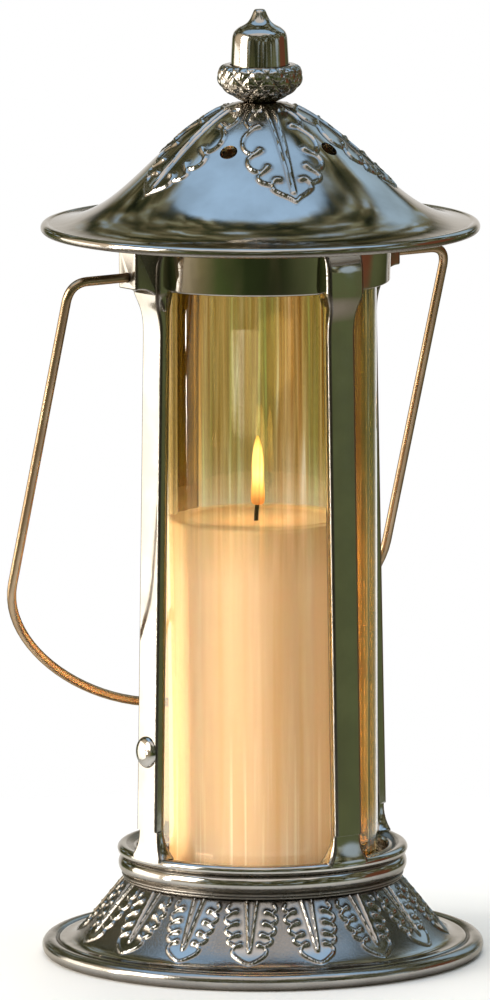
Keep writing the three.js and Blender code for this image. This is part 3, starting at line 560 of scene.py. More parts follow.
# Painted shade: a dark band on the double lip under the moulding, the round bead a little darker all over
# and much darker on its lower half where it faces the floor, and the underside of the moulding. The groove
# behind the bead holds patina.
dark_patina_and_shade(base_body, 0.6 * ease(z, 37, 38.4) * (1 - ease(z, 42.6, 44)) * (r > 69)
        + 0.5 * (r > 104) * (r < 106.6) * (z > 5) + (r > 106.6) * (0.2 + 0.4 * (1 - ease(z, 2, 4.5)))
        + 0.45 * (1 - ease(z, 45, 48)) * (z > 43.5) * (r > 71))
settle(base_body)
stands_for(base_body, "frame", cast_metal, "cast_metal", "base")

# %% Cords of one base leaf
# Each row is a line of (distance from the neck, distance from the midline) in millimetres.
BASE_EDGE = [
    [(2, 11.3), (4.5, 12.6), (7.2, 10.2)],
    [(7.2, 10.2), (9.4, 12.9), (11.8, 12.8), (13.9, 10.1)],
    [(13.9, 10.1), (16, 12.4), (18.3, 12), (20.4, 9)],
    [(20.4, 9), (22.3, 11.2), (24.4, 10.4), (26.2, 7.2)],
    [(26.2, 7.2), (28.6, 8.9), (31.4, 8.1), (34.1, 5.4), (36.3, 2.6), (37.3, 0)],
]
BASE_HOOKS = [
    [(7.2, 10.2), (6.3, 8.8), (6.1, 7.6)],
    [(13.9, 10.1), (13, 8.4), (12.7, 7)],
    [(20.4, 9), (19.7, 7.4), (19.3, 6)],
    [(26.2, 7.2), (25.6, 5.9), (25.2, 4.8)],
]
BASE_RIBS = [(0, 2.6), (13.4, 1.6), (27, 0.7), (29.5, 0.2)]
base_cords = (
    [(smooth_line(lobe, 1), 0.75, 0.75, 1.3) for lobe in BASE_EDGE]
    + [(smooth_line(hook, 1), 0.85, 1.35, 1.05) for hook in BASE_HOOKS]
    + [(BASE_RIBS, 0.9, 0.7, 1.25)]
)
base_edge = np.array([point for lobe in BASE_EDGE for point in lobe])


def base_leaf(s, v):
    height, near = cord_field(s, v, base_cords)
    outside = ease(v - np.interp(s, base_edge[:, 0], base_edge[:, 1], right=-2), -0.4, 0.9)
    between = outside * (1 - ease(s, 33, 41))
    foot = np.exp(-((near - 1.5) / 0.7)**2)
    # Patina fills the ground between the leaves and rings the foot of each cord. Near the neck the band is
    # darker still, a painted shadow of the moulding above.
    patina_and_painted_shade = 0.52 * between + (0.4 * foot + 0.1) * (1 - between) * (s < 38) + 0.25 * (1 - ease(s, 0, 12))
    patina_and_painted_shade *= ease(near, 0.2, 0.9)
    return height + 0.35 * (1 - outside) * (1 - ease(s, 35, 38)), patina_and_painted_shade

# %% The band of leaves
BASE_LEAVES, BASE_LEAF_TURN = 16, 3.9
BAND_WIDTH = 47.2
band_run = FLARE[::-1] + [(103.4, 8.6), (104.2, 8.5), (104.7, 8.0)]
band_face, band_length = resampled(band_run, np.linspace(0, BAND_WIDTH, 65))
band_back = set_in(band_face[:-1:6] + [band_face[-1]], 1.3)
base_leaf_band = turned("base_leaf_band", band_face + band_back[::-1], steps=1120)
leaf_patina_and_shade = raise_leaves(base_leaf_band, band_face, BASE_LEAVES, BASE_LEAF_TURN, base_leaf)
dark_patina_and_shade(base_leaf_band, leaf_patina_and_shade)
settle(base_leaf_band, 60)
stands_for(base_leaf_band, "frame", cast_metal, "cast_metal", "base")
print("length of the leafed face", round(band_length, 1), "mm")

# %% [markdown]
# ## The lower ring
# The ring is a second moulding of its own on top of the base, and the posts stand on it. Its
# front is a full round, its top dips a little towards the glass, and a small bead closes it
# off inside.

# %% Lower ring
ring_outline = (
    [(64.1, 52.1)] + arc(72.0, 54.75, 2.65, -85, 88, 18)
    + smooth_line([(71.2, 57.35), (69.6, 57.0), (67.8, 56.3), (66.7, 55.9)], 0.7)
    + arc(65.4, 55.5, 0.8, 60, 170, 5) + [(64.1, 55.0)]
)
lower_ring = turned("lower_ring_round", ring_outline, steps=192)
r, z = radius_and_height(lower_ring)
# Painted shade: the underside of the ring and its top, where it dips towards the glass, are darker.
dark_patina_and_shade(lower_ring, 0.6 * (1 - ease(z, 52.3, 54.2)) + 0.35 * (r < 70) * (r > 65.9))
settle(lower_ring)
stands_for(lower_ring, "frame", cast_metal, "cast_metal", "lower_ring")

# %% [markdown]
# ## The four posts
# A post is a flat bar that spreads at both ends. At its foot it flares sideways into the ring
# in a hollow curve, under a small step across its face, and at its head it swells forward
# round the collar and is rounded off into it. One bar is stacked up from a rounded rectangle
# that is extruded and resized from height to height. Two of the four also carry a block for
# the bail, with a hollow underside and a bore for the wire.

# %% Stacking rounded rectangles
def stacked(name, stations, corner):
    """stations are (height, inner, outer, half width) in millimetres, standing along +X."""
    z, inner, outer, half = stations[0]
    deselect()
    bpy.ops.mesh.primitive_plane_add(size=1, location=(0, 0, 0))
    piece = bpy.context.object
    piece.name = name
    bpy.ops.object.mode_set(mode="EDIT")
    bpy.ops.mesh.select_all(action="SELECT")
    bpy.ops.transform.resize(value=((outer - inner) * MM, 2 * half * MM, 1), center_override=(0, 0, 0))
    bpy.ops.mesh.bevel(offset_type="OFFSET", offset=corner * MM, segments=5, affect="VERTICES")
    bpy.ops.transform.translate(value=((inner + outer) / 2 * MM, 0, z * MM))
    for (z0, i0, o0, h0), (z1, i1, o1, h1) in zip(stations, stations[1:]):
        step = ((i1 + o1 - i0 - o0) / 2 * MM, 0, (z1 - z0) * MM)
        bpy.ops.mesh.extrude_region_move(TRANSFORM_OT_translate={"value": step})
        bpy.ops.transform.resize(value=((o1 - i1) / (o0 - i0), h1 / h0, 1),
                                 center_override=((i1 + o1) / 2 * MM, 0, z1 * MM))
    bpy.ops.mesh.select_all(action="SELECT")
    bpy.ops.mesh.normals_make_consistent(inside=False)
    bpy.ops.object.mode_set(mode="OBJECT")
    return piece

# %% One plain post
RING_TOP, STEP_TOP = 57.4, 70.8
SWELL_LOW, HEAD_LOW, HEAD_ROUND, HEAD_TOP = 322, 350.3, 359.0, 371.0
POST_FACE, POST_TAPER, POST_RUN, POST_THICK = 74.6, 5.9, 290.9, 6
COLLAR_FACE = 66.9


def post_station(z):
    outer = POST_FACE - POST_TAPER * (z - RING_TOP) / POST_RUN
    spread = max(0.0, 1 - max(0.0, z - RING_TOP) / (STEP_TOP - RING_TOP))
    swell = float(ease(z, SWELL_LOW, HEAD_LOW))**2
    side = float(ease(z, 333, HEAD_LOW))**2
    under_step = z < STEP_TOP - 0.3
    face = outer - (1.4 * (1 - spread**2.2) if under_step else 0) + 4.9 * swell
    if z > HEAD_ROUND:
        rounding = math.sqrt(1 - ((z - HEAD_ROUND) / (HEAD_TOP - HEAD_ROUND))**2)
        face = COLLAR_FACE + (face - COLLAR_FACE) * rounding
    return (z, outer - POST_THICK - 4 * spread**1.5, face, 8.2 + 4.2 * spread**2.6 + 3.2 * side)


foot_heights = [55.6, 57.4, 57.9, 58.5, 59.3, 60.3, 61.5, 63, 65, 67, 69, 70.3, 70.49, 70.9, 71.6, 74]
head_heights = (list(np.linspace(SWELL_LOW, HEAD_LOW, 20)) + [353]
                + list(np.linspace(HEAD_ROUND, HEAD_TOP, 13)))
post_pattern = stacked("post_pattern", [post_station(z) for z in foot_heights + head_heights], 2.4)

# %% The block that carries the bail
PIVOT, BOSS_TOP = 356.5, 372.3
BOSS_BACK, BOSS_FACE, BOSS_WIDE = 67.0, 84.3, 15
BOSS_SPREAD = 0.45  # how much wider the block is at its back, as a share
boss_outline = (
    [(BOSS_BACK, 338.2)] + arc(81.9, 337.5, 13, 172, 90, 14)
    + [(BOSS_FACE, 350.5), (BOSS_FACE, BOSS_TOP), (BOSS_BACK, BOSS_TOP)]
)
points = [Vector((x * MM, 0, z * MM)) for x, z in boss_outline]
boss = start_point("boss", points[0])
draw_on(points)
bpy.ops.mesh.select_all(action="SELECT")
bpy.ops.mesh.edge_face_add()
bpy.ops.transform.translate(value=(0, -BOSS_WIDE / 2 * MM, 0))
bpy.ops.mesh.extrude_region_move(TRANSFORM_OT_translate={"value": (0, BOSS_WIDE * MM, 0)})
bpy.ops.mesh.select_all(action="SELECT")
bpy.ops.mesh.normals_make_consistent(inside=False)
bpy.ops.object.mode_set(mode="OBJECT")
p = places_of(boss)
p[:, 1] *= 1 + BOSS_SPREAD * (BOSS_FACE - p[:, 0] / MM) / (BOSS_FACE - BOSS_BACK)
set_places(boss, p)
apply_modifier(boss, "BEVEL", width=1.1 * MM, segments=4, limit_method="ANGLE",
               angle_limit=math.radians(50))
boss_post = copy_of(post_pattern, "boss_post")
apply_modifier(boss_post, "BOOLEAN", object=boss, operation="UNION", solver="EXACT")
deselect()
bpy.ops.mesh.primitive_cylinder_add(vertices=32, radius=2.7 * MM, depth=20 * MM,
                                    location=(81.7 * MM, 0, PIVOT * MM), rotation=(0, math.pi / 2, 0))
bore = bpy.context.object
apply_modifier(boss_post, "BOOLEAN", object=bore, operation="DIFFERENCE", solver="EXACT")
for tool in (boss, bore):
    bpy.data.objects.remove(tool)

# %% Standing the posts round the glass
for where, turn, pattern in (("left", 180, boss_post), ("front", 270, post_pattern),
                             ("right", 0, boss_post), ("back", 90, post_pattern)):
    post = copy_of(pattern, "post_" + where + "_cast")
    # Painted shade: the patina number darkens the rounded edges of each post, where the normals lean
    # between face and side, as thin dark edge lines.
    normals = np.empty(len(post.data.vertices) * 3)
    post.data.vertices.foreach_get("normal", normals)
    turned_away = np.abs(normals[0::3] * normals[1::3])
    dark_patina_and_shade(post, 0.9 * ease(turned_away, 0.15, 0.38))
    post.rotation_euler = (0, 0, math.radians(turn))
    settle(post, 32)
    stands_for(post, "frame", cast_metal, "cast_metal", "post_" + where)
for pattern in (post_pattern, boss_post):
    bpy.data.objects.remove(pattern)

# %% [markdown]
# ## Collar and button
# The collar is a plain band with a slight taper that ties the heads of the posts together. A
# low round button sits on the face of the left post.

# %% Collar
collar_outline = (
    [(62.6, 380.8), (62.6, 349.2), (63.3, 348.3)] + arc(65.0, 349.5, 1.2, 270, 355, 6)
    + [(67.3, 380.6), (66.9, 381.2), (63.0, 381.2)]
)
collar = settle(turned("collar", collar_outline, steps=192))
stands_for(collar, "frame", cast_metal, "cast_metal", "top_collar")

# %% Button
BUTTON_REACH, BUTTON_HEIGHT = 73.8, 111.5
button_outline = (
    [(0, 3.0)] + smooth_line([(1.5, 2.95), (4.0, 2.65), (6.2, 1.9), (7.5, 1.0), (8.0, 0.3)], 0.8)
    + [(8.1, 0.0), (7.9, -0.3), (2.2, -0.3), (2.2, -3.0), (0, -3.0)]
)
button = turned("button", button_outline, steps=64, closed=False)
button_place = Matrix.Translation((-BUTTON_REACH * MM, 0, BUTTON_HEIGHT * MM))
button.matrix_world = button_place @ Matrix.Rotation(-math.pi / 2, 4, "Y")
settle(button, 40)
stands_for(button, "frame", cast_metal, "cast_metal", "post_button")

# %% [markdown]
# ## Glass, plate, candle, wick and flame
# The cylinder stands in a groove of the base and ends under the roof. Its wall is drawn glass
# that waves a little as it goes round, so its points are moved in and out by a sum of sines.
# The candle has burnt down to a shallow pool inside a level brim.

# %% Glass cylinder
GLASS_INNER, GLASS_OUTER, GLASS_SHOULDER = 57.1, 59.3, 364
glass_outline = (
    [(57.2, 45.3), (59.2, 45.3), (GLASS_OUTER, 45.5)]
    + [(GLASS_OUTER, z) for z in np.linspace(60, GLASS_SHOULDER, 9)]
    + arc(58.2, GLASS_SHOULDER, 1.1, 15, 165, 6)
    + [(GLASS_INNER, z) for z in np.linspace(GLASS_SHOULDER, 60, 9)] + [(GLASS_INNER, 45.5)]
)
glass = turned("glass_cylinder", glass_outline, steps=384)
p = places_of(glass)
angle = np.arctan2(p[:, 1], p[:, 0])
radius = np.hypot(p[:, 0], p[:, 1])
wave = 0.05 * np.sin(17 * angle + 1) + 0.035 * np.sin(31 * angle + 2.2) + 0.02 * np.sin(53 * angle)
grow = 1 + (wave - 0.06) * MM / radius
p[:, :2] *= grow[:, None]
set_places(glass, p)
settle(glass, 50)
stands_for(glass, "glass", amber_glass, "amber_glass", "glass_chimney")

# %% Candle plate and candle
plate_outline = [(0, 47.3), (50.8, 47.3), (51.6, 47.6), (52.8, 50.0), (52.6, 50.3), (51.4, 50.3),
                 (50.0, 48.9), (2.0, 48.9), (1.6, 66.9), (0, 70.9)]
plate = settle(turned("plate", plate_outline, steps=128, closed=False), 40)
stands_for(plate, "frame", steel, "steel", "candle_plate")
CANDLE_RADIUS = 47.8
candle_outline = (
    [(0, 224.4)] + smooth_line([(10, 224.4), (22, 224.5), (31, 224.9), (35.5, 225.5)], 2)
    + smooth_line([(36.4, 225.9), (37.4, 226.5), (38.6, 226.6), (39.8, 226.35), (41.5, 226.3),
                   (44.8, 226.35)], 0.6)
    + arc(45.6, 224.2, 2.2, 85, 5, 8) + [(CANDLE_RADIUS, z) for z in np.linspace(221, 56, 12)]
    + arc(46.6, 50.4, 1.2, 0, -90, 4) + [(2.4, 49.2), (2.4, 71.2), (0, 71.2)]
)
candle = turned("candle_wax", candle_outline, steps=160, closed=False)
settle(candle, 40)
stands_for(candle, "frame", wax, "wax", "candle")

# %% Wick and flame
WICK_X, WICK_Y = -2.08, 1.55
FLAME_X = WICK_X + 1.0


def wire(name, points, radius, handles=None):
    """A round wire along (x, y, z) points in millimetres. handles are (before, after) pairs."""
    deselect()
    bpy.ops.curve.primitive_bezier_curve_add(location=(0, 0, 0))
    piece = bpy.context.object
    piece.name = name
    spline = piece.data.splines[0]
    spline.bezier_points.add(len(points) - 2)
    for i, point in enumerate(points):
        knot = spline.bezier_points[i]
        knot.handle_left_type = knot.handle_right_type = "FREE" if handles else "AUTO"
        knot.co = Vector(point) * MM
        if handles:
            knot.handle_left, knot.handle_right = (Vector(h) * MM for h in handles[i])
    piece.data.dimensions = "3D"
    piece.data.resolution_u = 24
    piece.data.bevel_depth = radius * MM
    piece.data.bevel_resolution = 6
    piece.data.use_fill_caps = True
    pick(piece)
    bpy.ops.object.convert(target="MESH")
    return piece


wick = wire("wick_burnt", [
    (WICK_X, WICK_Y, 216), (WICK_X, WICK_Y, 227), (WICK_X + 0.45, WICK_Y, 231.4),
    (WICK_X + 1.5, WICK_Y, 234.9),
], 1.1)
settle(wick, 60)
stands_for(wick, "frame", wick_cord, "wick_cord", "wick")
flame_outline = [(0, FLAME_LOW)] + smooth_line(
    [(2.4, 232.8), (3.3, 233.8), (3.6, 236.2), (3.4, 241.5), (3.2, 247), (3.2, 253),
     (2.9, 257.6), (2.2, 262.4), (1.3, 266), (0.5, 268)], 1) + [(0, FLAME_HIGH)]
flame = turned("flame", flame_outline, steps=40, closed=False)
flame.location = (FLAME_X * MM, WICK_Y * MM, 0)
settle(flame, 60)
stands_for(flame, "frame", flame_glow, None)
flame.visible_shadow = False

# %% [markdown]
# ## The roof
# The roof is a bell: a dome that runs out into a wide, almost flat flare with a rolled rim.
# Five leaves lie on the dome, with a vent hole between each two. The bell is turned in one
# go with its rim, its thin inside and the ring that drops into the collar. The vents are
# cut before the relief is raised, because the cut works best on a smooth wall. Inside, the
# patina number paints shade, so the vents look dark, and the lower half of the rim is
# painted darker as well.

# %% Turning the bell
DOME = cubic((10.4, 440), (24.6, 437.45), (43.17, 421.56), (56.8, 408.4), 60)
SKIRT = cubic((56.8, 408.4), (72.48, 393.27), (85.86, 380.25), (106.9, 378.5), 60)
bell_places = list(np.arange(0, 76, 0.8)) + list(np.arange(77, 120, 1.6))
bell_run = DOME + SKIRT[1:]
bell_length = resampled(bell_run, [0])[1]
bell_face, _ = resampled(bell_run, [s for s in bell_places if s < bell_length - 0.8] + [bell_length])
lining = set_in(bell_face[:-1:5] + [bell_face[-1]], 3.0)
bell_outline = (
    [(3.3, 440.0)] + bell_face + arc(109.6, 376.2, 2.7, 128, -128, 20)
    + [q for q in lining[::-1] if q[0] > 67.5]
    + [(66.9, 394.5), (66.9, 381.5), (62.3, 381.5), (62.3, 375.6), (61.9, 375.2), (57.9, 375.2),
       (57.5, 375.6), (57.5, 403.4)]
    + [q for q in lining[::-1] if 12 < q[0] < 57] + [(9.0, 437.0), (3.3, 437.0)]
)
roof = turned("roof_bell", bell_outline, steps=500)
print("roof face", round(bell_length, 1), "mm long,", len(roof.data.polygons), "faces")

# %% Cutting the vents
ROOF_LEAVES, ROOF_LEAF_TURN = 5, 248.5
VENT_RING, VENT_RADIUS, VENT_SLOPE = 45, 4.6, 0.965
vent_pitch = 360 / ROOF_LEAVES
vent_height = float(np.interp(VENT_RING, [q[0] for q in bell_face], [q[1] for q in bell_face]))
cutters = []
for i in range(ROOF_LEAVES):
    turn = math.radians(ROOF_LEAF_TURN + vent_pitch / 2 + vent_pitch * i)
    place = (VENT_RING * math.cos(turn) * MM, VENT_RING * math.sin(turn) * MM, vent_height * MM)
    deselect()
    bpy.ops.mesh.primitive_cylinder_add(
        vertices=48, radius=VENT_RADIUS * MM, depth=20 * MM, location=place,
        rotation=(0, math.atan(VENT_SLOPE), turn))
    cutters.append(bpy.context.object)
deselect()
for cutter in cutters:
    cutter.select_set(True)
bpy.context.view_layer.objects.active = cutters[0]
bpy.ops.object.join()
cutter = bpy.context.object
apply_modifier(roof, "BOOLEAN", object=cutter, operation="DIFFERENCE", solver="EXACT")
bpy.data.objects.remove(cutter)
print("vents cut at height", round(vent_height, 1), "mm")

# %% Cords of one roof leaf
ROOF_EDGE = [
    [(9, 4.5), (8.8, 8.5), (11.5, 11.2), (15.5, 13.6), (19, 14.9), (23.3, 14.2)],
    [(23.3, 11), (26.5, 14.5), (31, 18.2), (36.5, 20), (40.5, 19), (42.6, 15.9)],
    [(42.6, 15.9), (45.5, 19), (49.5, 19.9), (52.8, 18), (54.4, 14)],
    [(54.4, 14), (57.4, 16.4), (60.6, 15), (62.4, 10.2)],
    [(62.4, 10.2), (65.6, 9.9), (68.6, 6.6), (70.9, 3), (73.6, 0)],
]
ROOF_HOOKS = [
    [(23.3, 14.2), (23.4, 11.6), (22, 8.4)],
    [(42.6, 15.9), (40.9, 13.4), (39.2, 11.6)],
    [(54.4, 14), (52.3, 11.6), (50.4, 10)],
    [(62.4, 10.2), (60.4, 9.2), (58.7, 7.6), (59, 5.6)],
]
ROOF_RIBS = [(9, 2), (14, 1.9), (40, 1.3), (68, 0.5)]
roof_cords = (
    [(smooth_line(lobe, 1), 0.85, 0.85, 1.3) for lobe in ROOF_EDGE]
    + [(smooth_line(hook, 1), 0.95, 1.55, 1.0) for hook in ROOF_HOOKS]
    + [(ROOF_RIBS, 0.95, 0.8, 1.15)]
)
roof_edge = np.array(sorted(point for lobe in ROOF_EDGE for point in lobe))


def roof_leaf(s, v):
    height, near = cord_field(s, v, roof_cords)
    outside = ease(v - np.interp(s, roof_edge[:, 0], roof_edge[:, 1], right=-2), -0.4, 0.9)
    crown = 1 - ease(s, 14, 34)
    foot = np.exp(-((near - 1.5) / 0.6)**2)
    patina_and_painted_shade = (0.45 * foot + 0.1 * crown + 0.2 * crown * outside) * ease(near, 0.4, 1.1)
    return height + 0.25 * (1 - outside) * (1 - ease(s, 70, 73)), patina_and_painted_shade


leaf_patina_and_shade = raise_leaves(roof, bell_face, ROOF_LEAVES, ROOF_LEAF_TURN, roof_leaf)
r, z = radius_and_height(roof)
face_height = np.interp(r, [q[0] for q in bell_face], [q[1] for q in bell_face])
# Painted shade: the underside of the bell inside the roof is dark, and the lower half of the rim is
# darker.
painted_shade_inside = 0.95 * (z < face_height - 0.8) * (z > 382) * (r < 67.2)
dark_patina_and_shade(roof, np.maximum(leaf_patina_and_shade, painted_shade_inside) + 0.5 * (z < 376) * (r > 105))
settle(roof, 50)
stands_for(roof, "roof", cast_metal, "cast_metal", "roof")

# %% [markdown]
# ## The acorn finial
# The cup is covered with crossing rows of scales. In two slanting counts round the bowl every
# scale is one square, so its pillow comes from how far a point is inside its square. The nut
# above it is smooth: a slightly tapering barrel, a soft edge and a short spire with hollow
# sides.

# %% Cup of the acorn
bowl = cubic((8.4, 440.3), (14.6, 443.8), (23.2, 447.2), (21.6, 455.3), 60)
bowl += [(20.9, 457.4), (19.6, 458.8)]
bowl_length = resampled(bowl, [0])[1]
bowl, _ = resampled(bowl, np.linspace(0, bowl_length, 56))
cup_rim = [(18.2, 459.3), (15.4, 459.3), (15.4, 456.3), (3.3, 456.3)]
cup = turned("finial_cup_scaled", [(3.3, 440.3)] + bowl + cup_rim, steps=336)
SCALES, SCALE_LENGTH, SCALE_DEPTH, FAN_LINES = 14, 12.5, 1.3, 14
p = places_of(cup)
line = np.array(bowl)
along = lengths_along(line)
slope = headings_of(line)
r, z = np.hypot(p[:, 0], p[:, 1]) / MM, p[:, 2] / MM
angle = np.arctan2(p[:, 1], p[:, 0])
on_bowl = (np.abs(np.interp(z, line[:, 1], line[:, 0]) - r) < 0.05) & (r > 8.5)
s = np.interp(z, line[:, 1], along)
count = SCALES * angle / (2 * math.pi)
row = (s - (bowl_length - 9.5)) / SCALE_LENGTH
u, w = (count + row) % 1, (row - count) % 1
inside = 4 * np.sqrt(u * (1 - u) * w * (1 - w))
fan = 0.5 + 0.5 * np.cos(FAN_LINES * np.arctan2(w - u, w + u + 1e-6))
pillow = inside**0.75 + 0.22 * fan * inside
sink = (pillow - 1) * SCALE_DEPTH * on_bowl * ease(s, 1, 4)
out, rise = np.interp(z, line[:, 1], slope[:, 1]), -np.interp(z, line[:, 1], slope[:, 0])
push(p, angle, out, rise, sink)
set_places(cup, p)
# Patina lies in the grooves between the scales. The low part of the bowl, next to the dome, is darker as
# painted shade.
dark_patina_and_shade(cup, on_bowl * (0.55 * np.exp(-(inside / 0.22)**2) + 0.2 * (1 - ease(s, 3, 13))))
settle(cup, 60)
stands_for(cup, "roof", cast_metal, "cast_metal", "finial_cup")

# %% Nut of the acorn
nut_outline = (
    [(0, 456.6), (14.6, 456.6), (14.9, 457.0)]
    + smooth_line([(14.85, 459), (14.55, 465), (14.2, 471), (13.95, 473.6)], 1.5)
    + smooth_line([(13.75, 474.4), (12.9, 476.2), (10.8, 478.1), (8.7, 479.2), (7.3, 480.0), (6.1, 481.0),
                   (5.0, 482.5), (4.0, 484.5), (3.3, 486.2)], 0.7)
    + smooth_line([(2.9, 486.9), (2.5, 487.4), (1.9, 487.6)], 0.3) + [(0, 487.6)]
)
acorn = settle(turned("acorn", nut_outline, steps=128, closed=False), 40)
stands_for(acorn, "roof", cast_metal, "cast_metal", "finial_acorn")

# %% [markdown]
# ## The bail
# The bail is one length of thick wire. Each end turns into its block, a leg runs straight
# down, and a wide loop joins the legs. It hangs behind the lantern and leans on the back
# post. A Bezier curve with a round section makes the bends smooth, and it is then made a mesh.

# %% Bail
LEAN = math.radians(17.86)
half_run = [  # place, handle before, handle after, in the plane of the bail
    ((71.6, 0), (71.6, 0), (85, 0)),
    ((109, 0), (95, 0), (116.3, 0)),
    ((120, -11), (120, -3.7), (120, -60)),
    ((120, -168), (120, -115), (120, -203.9)),
]
bottom = ((0, -247.8), (54, -247.8), (-54, -247.8))


def leaning(point):
    u, s = point
    return (u, -s * math.sin(LEAN), s * math.cos(LEAN) + PIVOT)


def mirrored(knot):
    place, before, after = knot
    return tuple((-q[0], q[1]) for q in (place, after, before))


knots = half_run + [bottom] + [mirrored(k) for k in reversed(half_run)]
BAIL_RADIUS = 2.4
bail = wire("bail_wire_bent", [leaning(k[0]) for k in knots], BAIL_RADIUS,
            [(leaning(k[1]), leaning(k[2])) for k in knots])
settle(bail, 60)
stands_for(bail, "bail", bail_wire, "bail_wire", "bail_handle")

# %% [markdown]
# ## Hidden fasteners
# Eight screws, the stud, its washer and its nut are only seen with the roof off or from
# below. Their solids have the right shape, so they stay and take the steel finish.

# %% Fasteners
kept = [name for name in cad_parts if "screw" in name or name in
        ("finial_stud", "finial_washer", "finial_nut")]
for name in kept:
    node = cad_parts[name]
    if not node.material_slots:
        node.data.materials.append(steel)
    for held in node.material_slots:
        held.material = steel
print(len(kept), "fasteners keep their solids")

# %% [markdown]
# ## Floor and light
# Polished metal shows nothing but its surroundings. The camera sees plain white round the
# lantern, from every side. In reflections and through the glass there is a white card behind
# the lantern and a garden everywhere else: dark leaves, a sky over them, a dim ground and a
# bright side on the left. Soft panels light the lantern, with a small lamp in the flame, and
# the floor fades into the white before it ends.

# %% Floor
FLOOR_SOLID, FLOOR_END = 0.2, 0.5

deselect()
bpy.ops.mesh.primitive_circle_add(vertices=96, radius=FLOOR_END, fill_type="NGON", location=(0, 0, 0))
floor = bpy.context.object
floor.name = "floor"
paper, tree, surface = new_finish("pale_floor")
tone = ramp(tree, object_noise(tree, 3, detail=2), [
    (0.3, (0.93, 0.925, 0.915)), (0.7, (0.96, 0.955, 0.945)),
])
tree.links.new(tone, surface.inputs["Base Color"])
surface.inputs["Roughness"].default_value = 0.8
surface.inputs["Specular IOR Level"].default_value = 0.2
place = add_node(tree, "ShaderNodeTexCoord").outputs["Object"]
reach = add_node(tree, "ShaderNodeVectorMath", {0: place}, operation="LENGTH").outputs["Value"]
tree.links.new(span(tree, reach, 1, 0, FLOOR_SOLID, FLOOR_END - 0.02), surface.inputs["Alpha"])
floor.data.materials.append(paper)

# %% Directions in the garden
side = Vector((-right.x, -right.y, 0)).normalized()
toward = Vector((away.x, away.y, 0)).normalized()
world = bpy.data.worlds.new("garden")
bpy.context.scene.world = world
world.use_nodes = True
sky = world.node_tree
heading = add_node(sky, "ShaderNodeTexCoord").outputs["Generated"]


def heading_along(direction):
    node = add_node(sky, "ShaderNodeVectorMath", {0: heading, 1: direction}, operation="DOT_PRODUCT")
    return node.outputs["Value"]


def garden_noise(scale, detail):
    node = add_node(sky, "ShaderNodeTexNoise", {"Vector": heading, "Scale": scale, "Detail": detail})
    return node.outputs["Fac"]


height, nearer, leftward = (heading_along(d) for d in (Vector((0, 0, 1)), toward, side))
behind = heading_along(-away)

# %% Leaves and sky
def seen(amount, low, high):
    return span(sky, amount, 0, 1, low, high)


def noisy(scale, strength, amount):
    node = add_node(sky, "ShaderNodeMath", {0: garden_noise(scale, 5), 1: strength, 2: amount},
                    operation="MULTIPLY_ADD")
    return node.outputs[0]


leaves = ramp(sky, garden_noise(9, 6), [
    (0.36, (0.012, 0.016, 0.008)), (0.46, (0.06, 0.07, 0.03)), (0.54, (0.20, 0.17, 0.09)),
    (0.61, (0.40, 0.42, 0.26)), (0.66, (0.55, 0.75, 1.0)),
])
blue, hazy = (0.58, 0.88, 1.26, 1), (1.12, 1.05, 1.0, 1)
open_sky = mix_colour(sky, seen(nearer, 0.13, 0.3), blue, hazy)
over_trees = seen(noisy(3, 0.3, heading_along(toward + side * 0.2)), -0.15, -0.09)
clear = add_node(sky, "ShaderNodeMath", {0: over_trees, 1: seen(noisy(3, 0.5, height), 0.93, 1.0)},
                 operation="MULTIPLY").outputs[0]
above = mix_colour(sky, clear, leaves, open_sky)
gap = heading_along(toward * -0.78 - side * 0.45 + Vector((0, 0, 0.44)))
above = mix_colour(sky, seen(gap, 0.965, 0.985), above, (0.60, 0.85, 1.10, 1))
lit_side = mix_colour(sky, seen(leftward, 0.72, 0.9), above, (1.0, 0.80, 0.56, 1))

# %% Ground and the white card behind the lantern
ground = ramp(sky, span(sky, leftward, 0, 1, -1, 1), [
    (0.0, (0.15, 0.18, 0.08)), (0.12, (0.14, 0.16, 0.07)), (0.35, (0.03, 0.04, 0.014)),
    (0.6, (0.035, 0.05, 0.016)), (0.8, (0.10, 0.14, 0.04)), (0.9, (0.32, 0.27, 0.13)),
    (1.0, (0.85, 0.70, 0.50)),
])
patchy = mix_colour(sky, span(sky, garden_noise(5, 4), 0, 0.3, 0.45, 0.65), ground, (0.16, 0.13, 0.07, 1))
deep_down = mix_colour(sky, span(sky, height, 1, 0, -0.6, -0.4), patchy, (0.32, 0.28, 0.22, 1))
garden = mix_colour(sky, seen(height, -0.04, 0.01), deep_down, lit_side)
red = heading_along(toward * -0.26 - side * 0.966)
garden = mix_colour(sky, seen(red, 0.94, 0.97), garden, (0.22, 0.08, 0.04, 1))
strip = heading_along(toward * 0.259 - side * 0.963 + Vector((0, 0, 0.07)))
garden = mix_colour(sky, seen(strip, 0.99, 0.996), garden, (0.52, 0.64, 0.72, 1))
card = mix_colour(sky, seen(behind, 0.88, 0.94), garden, (1, 1, 1, 1))
direct = add_node(sky, "ShaderNodeLightPath").outputs["Is Camera Ray"]
shade = mix_colour(sky, direct, card, (1, 1, 1, 1))
sky.links.new(shade, sky.nodes["Background"].inputs["Color"])
sky.nodes["Background"].inputs["Strength"].default_value = 1

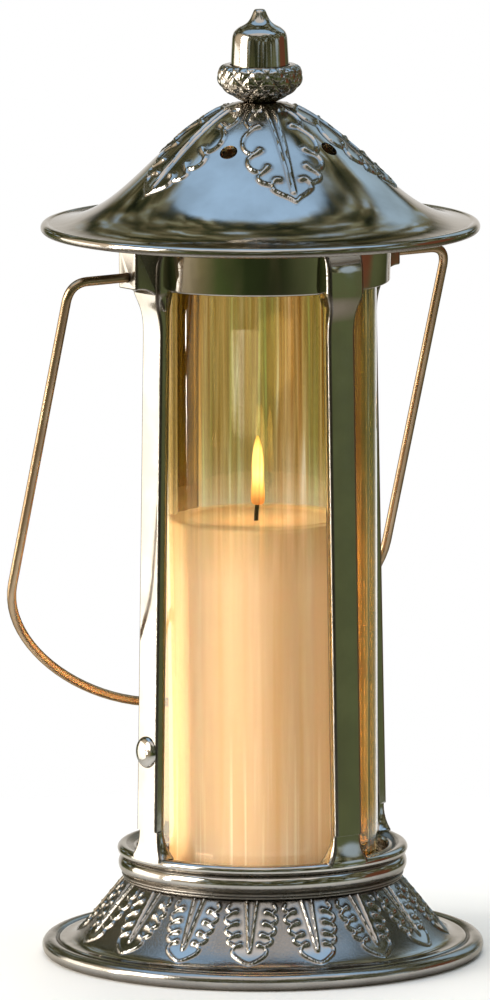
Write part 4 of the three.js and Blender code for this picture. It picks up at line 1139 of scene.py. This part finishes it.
# %% Soft panels
def panel(name, place, size, power, colour=(1, 1, 1), aim_height=0.22):
    lamp = bpy.data.lights.new(name, "AREA")
    lamp.shape = "RECTANGLE"
    lamp.size, lamp.size_y = size
    lamp.energy = power
    lamp.color = colour
    holder = bpy.data.objects.new(name, lamp)
    bpy.context.scene.collection.objects.link(holder)
    holder.location = place
    aim = Vector((0, 0, aim_height)) - Vector(place)
    holder.rotation_euler = aim.to_track_quat("-Z", "Y").to_euler()
    holder.visible_camera = False
    return holder


panel("left_panel", side * 2.2 + toward * 0.9 + Vector((0, 0, 1.0)), (1.2, 1.4), 35,
      (1.0, 0.94, 0.85))
panel("left_strip", side * 2.55 + toward * 0.42 + Vector((0, 0, 0.45)), (0.2, 1.7), 24,
      (1.0, 0.97, 0.91))
panel("left_back_panel", Vector((-0.59, 0.79, 0)) * 1.25 + Vector((0, 0, 0.06)), (0.8, 0.75), 4.2,
      (1.0, 0.96, 0.89), 0.06)
front_fill = panel("front_fill", toward * 2.4 + side * 0.7 + Vector((0, 0, 0.6)), (1.4, 1.4), 20,
                   (1.0, 0.97, 0.93))
back_fill = panel("back_fill", Vector((1.3, 1.3, 0.7)), (1.0, 1.0), 16, (1.0, 0.95, 0.86))
right_panel = panel("right_panel", Vector((1.18, -1.58, -0.05)), (0.6, 1.2), 5, (1.0, 0.88, 0.70))
for soft in (front_fill, back_fill, right_panel):
    soft.visible_glossy = False
top_panel = panel("top_panel", Vector((0.3, 0.3, 3.0)), (2.0, 2.0), 28, (1.0, 0.96, 0.9))
top_panel.visible_glossy = False
glow = bpy.data.lights.new("flame_light", "POINT")
glow.energy, glow.color, glow.shadow_soft_size = 0.03, (1.0, 0.62, 0.28), 4 * MM
flame_light = bpy.data.objects.new("flame_light", glow)
bpy.context.scene.collection.objects.link(flame_light)
flame_light.location = (FLAME_X * MM, WICK_Y * MM, 245 * MM)
flame_light.visible_transmission = flame_light.visible_glossy = False

# %% [markdown]
# ## The end
# The colours are shown with the standard view transform.

# %% View transform
bpy.context.scene.view_settings.view_transform = "Standard"
